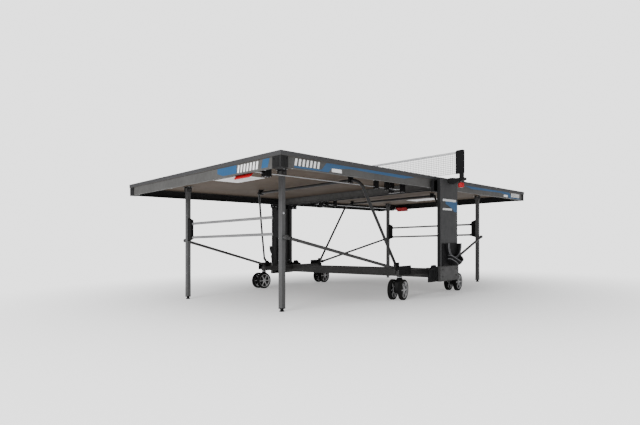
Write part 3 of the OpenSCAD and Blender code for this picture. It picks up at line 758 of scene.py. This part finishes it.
def guide_blocks():
    """Ribbed blocks that slide in the columns' rails, with the fold pivots."""
    pivot = joint_place("fold_left")
    shape = refine("guide_blocks_left", "black_plastic", 1.2)
    for s in SIDES:
        for x in (-132, -100):
            shape.bolt((x, s * 766, 672), (0, -s, 0), 4.0, 2.0)
        for i in range(4):
            shape.block((-138, s * 765.2, 684 + 9 * i), (-92, s * 767, 687 + 9 * i), "black_plastic", 0.4)
        shape.add(lathe([(6, 0), (9, 0.4), (9, 2.4), (6, 2.8)], (pivot[0], s * 762.6, pivot[2]),
                        (0, -s, 0), 20), "zinc")
    return shape


def legs():
    """Square tubes with rounded corners, plugs at both ends and bright bolts."""
    low, high = extent("legs_left")
    size = high[0] - low[0]
    x = (low[0] + high[0]) / 2
    y = high[1] - size / 2
    shape = Shape()
    for s in SIDES:
        for width, radius, foot_z, depth, kind, edge in (
                (size, 4.5, low[2], high[2] - low[2] - 1, "leg_grey", 0.5),
                (size + 0.6, 4.8, low[2], 5, "black_plastic", 1.0),
                (size - 2, 3.5, high[2] - 3, 3, "black_plastic", 0.8)):
            outline = rounded_rectangle(width, width, radius)
            shape.add(prism(outline, (x, s * y, foot_z), X, Y, depth), kind, edge)
        shape.bolt((x, s * high[1], 510), (0, s, 0), 4.8, 3.2)
    return shape


def leg_rails():
    """Two round rails with pressed collars at their ends."""
    low, high = extent("leg_rails_left")
    radius = (high[0] - low[0]) / 2
    x = (low[0] + high[0]) / 2
    reach = high[1]
    shape = Shape()
    for z in (low[2] + radius, high[2] - radius):
        shape.add(lathe(bar_profile(radius, -reach, reach, 0.2, 0.8), (x, 0, z), Y, 32), "rail_silver")
        for s in SIDES:
            shape.add(lathe([(radius - 0.5, 0), (radius + 2, 0.6), (radius + 2.4, 3), (radius + 1.4, 12),
                             (radius - 0.5, 13)], (x, s * (reach - 1), z), (0, -s, 0), 32), "black_plastic")
    return shape


def leg_gussets():
    """Tapered brackets with raised ribs between the leg and the two rails."""
    low, high = extent("leg_gussets_left")
    outer, inner = high[1], high[1] - 38
    outline = [(outer, low[2]), (outer, high[2]), (inner, high[2] - 14), (inner, low[2] + 14)]
    shape = Shape()
    depth = high[0] - low[0]
    for s in SIDES:
        shape.add(prism([(s * y, z) for y, z in outline], (low[0], 0, 0), Y, Z, depth),
                  "black_plastic", 2.2, 3)
        for x in (low[0] - 0.6, high[0] - 0.6):
            for z in (low[2] + 34, low[2] + 62, low[2] + 90):
                shape.block((x, s * (outer - 33), z), (x + 1.2, s * (outer - 4), z + 3), "black_plastic", 0.4)
            shape.block((x, s * (high[1] - 8), low[2] + 14), (x + 1.2, s * (high[1] - 4), high[2] - 14),
                        "black_plastic", 0.4)
    return shape


def tie_rods():
    """Round tubes with a boss and bolt at each end."""
    foot = joint_place("tie_swing_left")
    top = (joint_place("leg_swing_left")[0], 503.0, 384.0)
    foot_y, pin_y = 632.0, 483.3
    shape = Shape()
    for s in SIDES:
        upper, lower = Vector((top[0], s * top[1], top[2])), Vector((foot[0], s * foot_y, foot[2]))
        shape.add(sweep([upper, upper.lerp(lower, 0.5), lower], 9.0, 28), "charcoal")
        for place, radius in ((upper, 12.0), (lower, 13.0)):
            shape.add(lathe(bar_profile(radius, -8, 8), place, (0, s, 0), 32), "charcoal")
        shape.bolt((upper.x, s * (top[1] + 8), upper.z), (0, s, 0), 5.6, 4.6, "charcoal")
        shape.add(lathe([(0, 0), (5.6, 0), (6, 0.5), (6, 19.6), (0, 19.6)],
                        (upper.x, s * pin_y, upper.z), (0, s, 0), 20), "zinc")
        along = (lower - upper).normalized()
        for place in (upper + along * 24, lower - along * 26):
            shape.add(lathe([(8.8, -3), (10, -1.6), (10, 1.6), (8.8, 3)], place, along, 24), "black_plastic")
    return shape


def strut_frame():
    """Bent tube with its crossbar, a thinner bar to the far side, bosses and bolts."""
    pivot = joint_place("strut_swing_left")
    foot = (-260.0, 205.0)
    run = (foot[0] - pivot[0], pivot[2] - foot[1])
    length = math.hypot(*run)
    placed = (Matrix.Translation((pivot[0], 0, pivot[2]))
              @ Matrix.Rotation(-math.atan2(*run), 4, "Y"))
    near, far_bar, thin_foot = -585.0, 350.0, 696.0
    shape = Shape(placed)
    shape.add(sweep(bent([(0, near, -length), (0, near, 0), (0, far_bar, 0)], 60, 14), 9.0, 28),
              "strut_black")
    shape.add(lathe([(8.6, 0), (9.6, 0.8), (9.6, 4), (7, 6), (0, 6)], (0, far_bar - 4, 0), Y, 28),
              "black_plastic")
    shape.add(sweep([(0, far_bar - 6, 0), (0, (far_bar + thin_foot) / 2, (42 - length) / 2),
                     (0, thin_foot, 42 - length)], 7.5, 24), "strut_black")
    weld = lathe([(7, -4), (9.5, -2), (10.2, 1), (8.4, 5), (7, 6)], (0, far_bar - 2, -6),
                 (0, thin_foot - far_bar, 42 - length), 24)
    shape.add(weld, "strut_black")
    shape.add(prism([(-9, -length), (-9, 46 - length), (9, 46 - length), (9, -length),
                     *arc((0, -length), 9, 0, -180, 8)[1:-1]], (0, thin_foot - 3.5, 0), X, Z, -7),
              "strut_black", 0.8)
    for y, half, radius in ((near, 10.0, 12.0), (thin_foot, 3.5, 11.0)):
        shape.add(lathe(bar_profile(radius, -half, half), (0, y, -length), Y, 32), "strut_black")
        shape.add(lathe([(0, 0), (9, 0), (9, 1), (7.4, 1.4), (7.4, 3.4), (5.6, 4.8), (0, 5)],
                        (0, y + half, -length), Y, 6), "zinc", 0.4)
    return shape


HALF_PIECES = {
    "board": board, "apron_rails": apron_rails, "corner_caps": corner_caps, "pivot_plates": pivot_plates,
    "leg_brackets": leg_brackets, "strut_clamps": strut_clamps, "rod_guides": rod_guides,
    "release_handle": release_handle, "lock_rod": lock_rod, "guide_blocks": guide_blocks, "legs": legs,
    "leg_rails": leg_rails, "leg_gussets": leg_gussets, "tie_rods": tie_rods, "strut_frame": strut_frame,
}


# ---------------------------------------------------------------- feet and casters

def foot(node):
    """Screw foot: flared disc, knurled neck and a threaded stud."""
    low, high = extent(node)
    x, y = (low[0] + high[0]) / 2, (low[1] + high[1]) / 2
    shape = Shape()
    shape.add(lathe([(0, 0), (12.6, 0), (14, 1.2), (14, 3.4), (12.4, 5), (9.4, 6.6), (8.6, 8), (8.6, 13.6),
                     (7.6, 14.6), (0, 14.6)], (x, y, 0), Z, 36), "black_plastic")
    for i in range(12):
        angle = math.radians(30 * i)
        spot = (x + 8.4 * math.cos(angle), y + 8.4 * math.sin(angle))
        shape.add(sweep([(*spot, 8.6), (*spot, 13.4)], 0.9, 8), "black_plastic")
    shape.add(lathe(thread_profile(4.4, 4.9, 4.0, 14.4, high[2], 1.4), (x, y, 0), Z, 18), "zinc")
    return shape


def caster_frame(key):
    """Swivel place, turned so that the wheels trail towards -X; the trail; and the axle's height."""
    swivel, axle = joint_place(f"swivel_{key}"), joint_place(f"roll_{key}")
    dx, dy = axle[0] - swivel[0], axle[1] - swivel[1]
    placed = Matrix.Translation((swivel[0], swivel[1], 0)) @ Matrix.Rotation(math.atan2(-dy, -dx), 4, "Z")
    return placed, math.hypot(dx, dy), axle[2]


def fork(key):
    """Caster housing between its wheels, with swivel head, stem and axle."""
    placed, trail, axle = caster_frame(key)
    top = extent(f"fork_{key}")[1][2]
    shape = Shape(placed)
    outline = [*arc((-trail, axle), 20, 180, 330, 10), (14, 90), (15, 118), (10, 124), (-12, 124),
               (-trail - 12, 108), (-trail - 18, 90)]
    shape.add(prism(outline, (0, 19, 0), X, Z, 38), "black_plastic", 3.0, 3)
    for s in SIDES:
        shape.add(prism([(x * 0.72 - 4, (z - 92) * 0.72 + 92) for x, z in outline], (0, s * 19 + 0.6, 0),
                        X, Z, 1.2), "black_plastic", 0.4)
    shape.add(lathe([(0, 60), (13, 60), (15, 63), (15, 122), (17.4, 126), (17.4, 131), (14, 133), (13, 133.4),
                     (13, 139.6), (0, 139.6)], (0, 0, 0), Z, 32), "black_plastic")
    shape.add(lathe([(13, 134), (15.4, 134.4), (15.4, 137.4), (13, 137.8)], (0, 0, 0), Z, 32),
              "zinc")
    shape.add(lathe([(0, 139), (5.9, 139), (5.9, top - 1), (4.8, top), (0, top)], (0, 0, 0),
                    Z, 20), "zinc")
    reach = 48.0
    shape.add(lathe(bar_profile(4, -reach, reach, 1.4), (-trail, 0, axle), Y, 20), "zinc")
    for s in SIDES:
        shape.add(lathe([(4, 0), (7.4, 0.2), (7, 1.6), (4, 2.2)], (-trail, s * 45.2, axle), (0, s, 0), 20),
                  "zinc")
    return shape


def wheels(key):
    """Two wheels: grooved rubber tread, grey rim and boss, six grey spokes over a near-black web that paints
    the shade in the hollows between them.
    """
    placed, trail, axle = caster_frame(key)
    offset, spokes, spoke_depth = 33.0, 6, 18.8
    tread = [(50, -11), (58, -11.8), (61.4, -10.4), (62.5, -8), (62.5, -3.4), (61.6, -2.6), (61.6, 2.6),
             (62.5, 3.4), (62.5, 8), (61.4, 10.4), (58, 11.8), (50, 11)]
    rim = [(46.6, -9.0), (49, -10.4), (50.6, -10), (50.6, 10), (49, 10.4), (46.6, 9.0)]
    web = [(4.2, -2.6), (44, -2.6), (44, 2.6), (4.2, 2.6)]
    boss = [(4.2, -11), (11, -11), (13, -9.6), (13, 9.6), (11, 11), (4.2, 11)]
    half_spoke = [(9, 3.4), (30, 2.4), (42, 3.2), (47, 6.0)]
    spoke = [(r, -w) for r, w in half_spoke] + half_spoke[::-1]
    shape = Shape(placed)
    for side in (-offset, offset):
        centre = (-trail, side, axle)
        # the web's near-black plastic is painted shade in the hollows between the spokes
        for profile, steps, kind in ((tread, 56, "tyre_rubber"), (rim, 48, "hub_grey"),
                                     (web, 40, "black_plastic"), (boss, 32, "hub_grey")):
            shape.add(lathe(profile, centre, Y, steps, closed=True), kind)
        for i in range(spokes):
            turn = Matrix.Rotation(2 * math.pi * i / spokes, 4, "Y")
            shape.add(prism(spoke, (0, spoke_depth / 2, 0), X, Z, spoke_depth), "hub_grey", 0.8,
                      placed=placed @ Matrix.Translation(centre) @ turn)
    return shape


# ---------------------------------------------------------------- centre frame

def cross_beam():
    """Rectangular tube with a weld bead round each end."""
    low, high = extent("cross_beam")
    width, height = high[0] - low[0], high[2] - low[2]
    middle = (low[2] + high[2]) / 2
    shape = Shape()
    shape.add(prism(rounded_rectangle(width, height, 6), (0, high[1], middle), X, Z, high[1] - low[1]),
              "charcoal", 0.4)
    for s in SIDES:
        weld = rounded_rectangle(width + 5, height + 5, 8)
        shape.add(prism(weld, (0, s * (high[1] - 2.5) + 2.5, middle), X, Z, 5), "charcoal", 2.0, 3)
    return shape


def caster_arms():
    """Tubes out to the casters, rounded over the swivel, each with its nut."""
    low, high = extent("caster_arms")
    width, root, height = 40.0, -21, high[2] - low[2]
    x_end, y = low[0] + width / 2, high[1] - width / 2
    nut = [(0, 0), (9.8, 0), (9.8, 1.6), (9, 2.4), (4, 2.8), (0, 2.8)]
    shape = Shape()
    for turn, s in product(BOTH_ENDS, SIDES):
        outline = [(root, s * y - width / 2), (root, s * y + width / 2),
                   *arc((x_end, s * y), width / 2, 90, 270, 14)]
        shape.add(prism(outline, (0, 0, low[2]), X, Y, height), "charcoal", 3.5, 4, turn)
        shape.add(lathe([(6.2, 0), (17, 0.2), (17, 1.8), (6.2, 2.0)], (x_end, s * y, high[2]), Z, 32,
                        closed=True), "charcoal", placed=turn)
        shape.add(lathe(nut, (x_end, s * y, high[2] + 1.6), Z, 6), "zinc", 0.5, placed=turn)
        weld = rounded_rectangle(width + 5, height + 5, 6)
        shape.add(prism(weld, (root - 3, s * y, low[2] + height / 2), Y, Z, 5), "charcoal", 2.0, 3, turn)
    return shape


def caster_brackets():
    """Brackets on the arms, with the tie rods' pivot bolts and two screws each."""
    foot = joint_place("tie_swing_left")
    bolts = ((foot[0], foot[2], 7.0), (-290, 162, 4.2), (-344, 162, 4.2))
    shape = refine("caster_brackets", "rail_black_and_painted_shade", 0.7)
    for turn, s, (x, z, radius) in product(BOTH_ENDS, SIDES, bolts):
        head = [(0, 0), (radius * 1.3, 0), (radius * 1.3, 1), (radius, 1.3), (radius, 2.6),
                (radius * 0.7, 3.8), (0, 4.0)]
        shape.add(lathe(head, (x, s * 679, z), (0, s, 0), 18), "black_plastic", placed=turn)
    return shape


def column(node):
    """Upright: flat tube with rounded corners, a plug in its top and a printed pattern; its narrow sides are
    painted near-black as shade.
    """
    low, high = extent(node)
    s = side_of(node)
    middle = (low[1] + high[1]) / 2
    width, depth = high[0] - low[0], high[1] - low[1]
    shape = Shape()
    shape.add(prism(rounded_rectangle(width, depth, 7), (0, middle, low[2]), X, Y, high[2] - low[2] - 1),
              "column_grey", 0.6)
    shape.add(prism(rounded_rectangle(width - 4, depth - 4, 5), (0, middle, high[2] - 4), X, Y, 4),
              "black_plastic", 1.2, 3)
    # the narrow sides facing +X and -X get the near-black material: painted shade on the grey column
    painted_shade = shape.index("rail_black_and_painted_shade")
    shape.bm.normal_update()
    for side_face in shape.bm.faces:
        if abs(side_face.normal.x) > 0.6 and side_face.material_index == 0:
            side_face.material_index = painted_shade
    face = s * (max(abs(low[1]), abs(high[1])) + 0.02)
    wave = [(-46, 604), (100, 604), (104, 560), (98, 536), (62, 538), (42, 556), (-4, 574), (-46, 586)]
    plane = ((0, face, 0), (-s, 0, 0), Z, 0.2)
    shape.add(prism(wave, *plane), "print_blue")
    for z, start, stop, height in ((602, -80, 88, 14), (546, -80, 40, 12)):
        slanted_bars(shape, (0, face + s * 0.05, z), (-s, 0, 0), Z, start, stop, height, "print_white",
                     7.0, 10.5, 2.5)
    return shape


def ball_holder(node):
    """Panel with a U-shaped collar and, below it, a half bowl whose rim dips in front."""
    s = side_of(node)
    back, face, front = 813.0, 821.0, 840.0
    centre, bowl_x = (26, 322), 24
    rim_z, rim_dip = 262.0, 40.0
    shape = Shape()

    def place(x, y, z):
        return -s * x, s * y, z

    def plate(outline, start, depth, kind, edge):
        shape.add(prism([(-s * x, z) for x, z in outline], (0, s * (start if s < 0 else start + depth), 0),
                        X, Z, depth), kind, edge)

    panel = [(x + 8, z + 266.5) for x, z in rounded_rectangle(196, 139, 5)]
    plate(panel, back, face - back, "black_plastic", 1.2)
    collar = [*arc(centre, 84, 170.4, 369.6, 36), *arc(centre, 72, 371.2, 168.8, 36)]
    plate(collar, back, front - back, "black_plastic", 1.0)
    for radius, y in ((73.5, front + 0.4), (82.5, front - 0.6)):
        bead = arc(centre, radius, 169.5, 370.5, 40)
        shape.add(sweep([place(x, y, z) for x, z in bead], 2.4, 12), "grey_plastic")

    # bowl: an outer and an inner wall of upright staves, each from the floor up to the rim
    profile = [(196, 16), (204, 30), (212, 40), (222, 47.5), (232, 53), (262, 56)]
    plan = [(-90, face - front), *[(-90 + 7.5 * i, 0.0) for i in range(25)], (90, face - front)]

    def radius_at(z):
        for (z0, r0), (z1, r1) in zip(profile, profile[1:]):
            if z <= z1:
                return r0 + (r1 - r0) * (z - z0) / (z1 - z0)
        return profile[-1][1]

    def rim(turn):
        return rim_z - rim_dip * max(0.0, math.cos(math.radians(turn))) ** 1.4

    def spot(turn, shift, z, wall):
        reach = radius_at(z) - wall
        angle = math.radians(turn)
        return place(bowl_x + reach * math.sin(angle), front + shift + reach * math.cos(angle), z)

    bowl = bmesh.new()
    levels = 9
    grids = []
    for wall, floor_z in ((0.0, 196.0), (4.0, 201.0)):
        grid = []
        for turn, shift in plan:
            top = rim(turn)
            grid.append([bowl.verts.new(spot(turn, shift, floor_z + (top - floor_z) * i / levels, wall))
                         for i in range(levels + 1)])
        grids.append(grid)
    outer, inner = grids
    for first in range(len(plan) - 1):
        second = first + 1
        for i in range(levels):
            bowl.faces.new((outer[first][i], outer[second][i], outer[second][i + 1], outer[first][i + 1]))
            bowl.faces.new((inner[second][i], inner[first][i], inner[first][i + 1], inner[second][i + 1]))
        bowl.faces.new((outer[first][-1], outer[second][-1], inner[second][-1], inner[first][-1]))
    for end in (0, -1):
        for i in range(levels):
            bowl.faces.new((outer[end][i], outer[end][i + 1], inner[end][i + 1], inner[end][i]))
    bowl.faces.new([stave[0] for stave in outer])
    bowl.faces.new([stave[0] for stave in inner])
    shape.add(bowl, "black_plastic")
    for lift, wall in ((0.0, 1.0), (-22.0, -0.6)):
        rail = [spot(turn, shift, max(198.0, rim(turn) + lift), wall) for turn, shift in plan]
        shape.add(sweep(rail, 2.6, 10), "grey_plastic")
    for x, z in ((-82, 206), (-82, 327), (98, 206)):
        shape.bolt(place(x, face, z), (0, s, 0), 3.4, 2.0, "black_plastic")
    return shape


def base_bumpers():
    """Ribbed end blocks of the base."""
    shape = refine("base_bumpers", "black_plastic", 1.8)
    for turn, x in product(BOTH_ENDS, (-198, -180, -162, -144)):
        shape.add(sweep([(x, -799.4, 108), (x, -799.4, 176)], 3.6, 16), "black_plastic", placed=turn)
    return shape


def frame_bolts():
    """Screw heads on the columns' feet."""
    face = extent("frame_bolts")[1][1] - 3
    shape = Shape()
    for s, x, z in product(SIDES, (-84, 84), (130, 172)):
        shape.bolt((x, s * face, z), (0, s, 0), 4.6, 3.2, "charcoal")
    return shape


def column_bases():
    """Covers round the columns' feet, with a rib at top and bottom."""
    shape = refine("column_bases", "charcoal", 1.6)
    for s, z in product(SIDES, (104, 189)):
        shape.block((-104, s * 816.4, z), (104, s * 818, z + 2.5), "charcoal", 0.5)
    return shape


def guide_rails():
    """Upright rails in the columns, with flush screws."""
    low, high = extent("guide_rails")
    shape = refine("guide_rails", "rail_black_and_painted_shade", 1.0)
    for s, t, z in product(SIDES, SIDES, (low[2] + 30, 400, high[2] - 40)):
        shape.bolt((t * 62, s * 776, z), (0, -s, 0), 3.4, 0.4)
    return shape


def net_brackets():
    """Clamp brackets of the net, with ribs and a collar for the screw."""
    shape = refine("net_brackets", "black_plastic", 2.0)
    for s in SIDES:
        for x in (-15, 15):
            shape.bolt((x, s * 830, 748), Z, 4.0, 2.2)
        for x in (-22.6, 21.4):
            shape.block((x, s * 822, 722), (x + 1.2, s * 908, 726), "black_plastic", 0.5)
        shape.add(lathe([(6.4, 0), (10, 0.4), (10, 2.4), (6.4, 2.8)], (0, s * 895, 720), Z, 24,
                        closed=True), "black_plastic")
    return shape


def net_post(node):
    """Flat post with a round-cornered head, ridges and hooks for the net's cords."""
    low, high = extent(node)
    s = side_of(node)
    inner, outer = 860.0, 915.0
    shape = Shape()
    outline = [(884, low[2]), (912, low[2]), (912, 771), (outer, 774),
               *arc((outer - 9, high[2] - 9), 9, 0, 90, 6), *arc((inner + 9, high[2] - 9), 9, 90, 180, 6),
               (inner, 771), (884, 771)]
    shape.add(prism([(s * y, z) for y, z in outline], (low[0], 0, 0), Y, Z, high[0] - low[0]),
              "black_plastic", 1.6, 3)
    for x in (low[0] - 0.5, high[0] - 0.7):
        for y in (866, 874, 902, 909):
            shape.block((x, s * y, 782), (x + 1.2, s * (y + 2), high[2] - 12), "black_plastic", 0.5)
        shape.block((x, s * 889, 748), (x + 1.2, s * 907, 768), "black_plastic", 0.5)
    for z in (high[2] - 9, 777):
        shape.add(sweep(bent([(0, s * 872, z), (0, s * 858, z), (0, s * 858, z - 4)], 2.0), 1.4, 10), "zinc")
    edge_y = s * (inner - 1.4)
    shape.add(sweep([(0, edge_y, 776), (0, edge_y, high[2] - 8)], 2.2, 12), "grey_plastic")
    return shape


def knob(node):
    """Six-lobed clamp knob with its screw."""
    low, high = extent(node)
    y = (low[1] + high[1]) / 2
    shape = Shape()
    shape.add(lathe([(0, 684), (10, 684), (15.4, 685.6), (17.6, 688.6), (18, 692), (18, 706), (17, 709.6),
                     (13.6, 712.4), (9, 713.6), (8, 715.8), (0, 715.8)], (0, y, 0), Z, 72, 6, 3.6),
              "red_plastic")
    shape.add(lathe(thread_profile(5.2, 5.9, 4.6, 715.6, high[2], 1.6), (0, y, 0), Z, 20), "zinc")
    return shape


def make_net():
    """Knotless mesh of real threads, with a folded top tape and a cord in its lower edge."""
    low, high = extent("net")
    reach, bottom, top = high[1], low[2], high[2]
    rng = random.Random(7)
    pitch, radius = 12.5, 1.0
    across = Shape()
    count = round(2 * reach / pitch)
    rows = round((top - bottom) / pitch)
    waves = [rng.uniform(-0.25, 0.25) for _ in range(count + 1)]

    def node_place(i, j):
        y = -reach + 2 * reach * i / count
        z = bottom + 1.0 + (top - bottom - 2.0) * j / rows
        return Vector((0.5 * math.sin(i * 0.21) + waves[i], y, z + 0.25 * math.sin(i * 0.9 + j)))

    lift = Vector((0.45, 0, 0))
    for i in range(count + 1):
        across.add(sweep([node_place(i, j) + lift for j in range(rows + 1)], radius, 6), "net_thread")
    for j in range(rows + 1):
        across.add(sweep([node_place(i, j) - lift for i in range(count + 1)], radius, 6), "net_thread")
    tape = Shape()
    fold = [(-1.3, -13.0), (-1.5, -2.0), *arc((0, -1.6), 1.5, 180, 0, 6), (1.5, -2.0), (1.3, -13.0),
            (0.7, -13.0), (0.8, -2.2), (-0.8, -2.2), (-0.7, -13.0)]
    tape.add(prism(fold, (0, -reach, top), X, Z, -2 * reach), "net_tape", 0.1)
    for z in (-12.0, -3.2):
        for x in (-1.5, 1.5):
            tape.add(sweep([(x, -reach + 1, top + z), (x, reach - 1, top + z)], 0.22, 6), "net_thread")
    cord = Shape()
    cord.add(sweep([node_place(i, 0) + Vector((0, 0, 0.2)) for i in range(count + 1)], 1.5, 10), "net_cord")
    mesh_piece = across.make("net_mesh", "net")
    tape_piece = tape.make("net_top_tape", "net", replaces=False)
    cord_piece = cord.make("net_lower_cord", "net", replaces=False)


FRAME_PIECES = {
    "cross_beam": cross_beam, "caster_arms": caster_arms, "caster_brackets": caster_brackets,
    "base_bumpers": base_bumpers, "frame_bolts": frame_bolts, "column_bases": column_bases,
    "guide_rails": guide_rails, "net_brackets": net_brackets,
}


def make_pieces():
    """Every piece, first those of the halves, then the feet, casters and frame."""
    for base, build in HALF_PIECES.items():
        for side_name, turn in HALVES:
            build().make(f"{base}_{side_name}_look", f"{base}_{side_name}", turn)
    for node in ("foot_front_left", "foot_rear_left", "foot_front_right", "foot_rear_right"):
        foot(node).make(f"{node}_look", node)
    for key in "abcd":
        fork(key).make(f"fork_{key}_look", f"fork_{key}")
        wheels(key).make(f"wheels_{key}_look", f"wheels_{key}")
    for node, build in FRAME_PIECES.items():
        build().make(f"{node}_look", node)
    for end in ("front", "rear"):
        column(f"column_{end}").make(f"column_{end}_look", f"column_{end}")
        ball_holder(f"ball_holder_{end}").make(f"ball_holder_{end}_look", f"ball_holder_{end}")
        net_post(f"net_post_{end}").make(f"net_post_{end}_look", f"net_post_{end}")
        knob(f"knob_{end}").make(f"knob_{end}_look", f"knob_{end}")
    make_net()


make_camera()
make_world()
make_floor()
area_light("key", (-5.5, -1.2, 2.6), (0.0, 0.0, 0.45), (3.0, 3.0), 300.0)
area_light("fill", (1.5, -5.5, 1.6), (0.0, 0.0, 0.5), (4.0, 2.4), 46.0)
area_light("top", (0.0, 0.0, 5.0), (0.0, 0.0, 0.0), (6.0, 6.0), 120.0)
make_pieces()
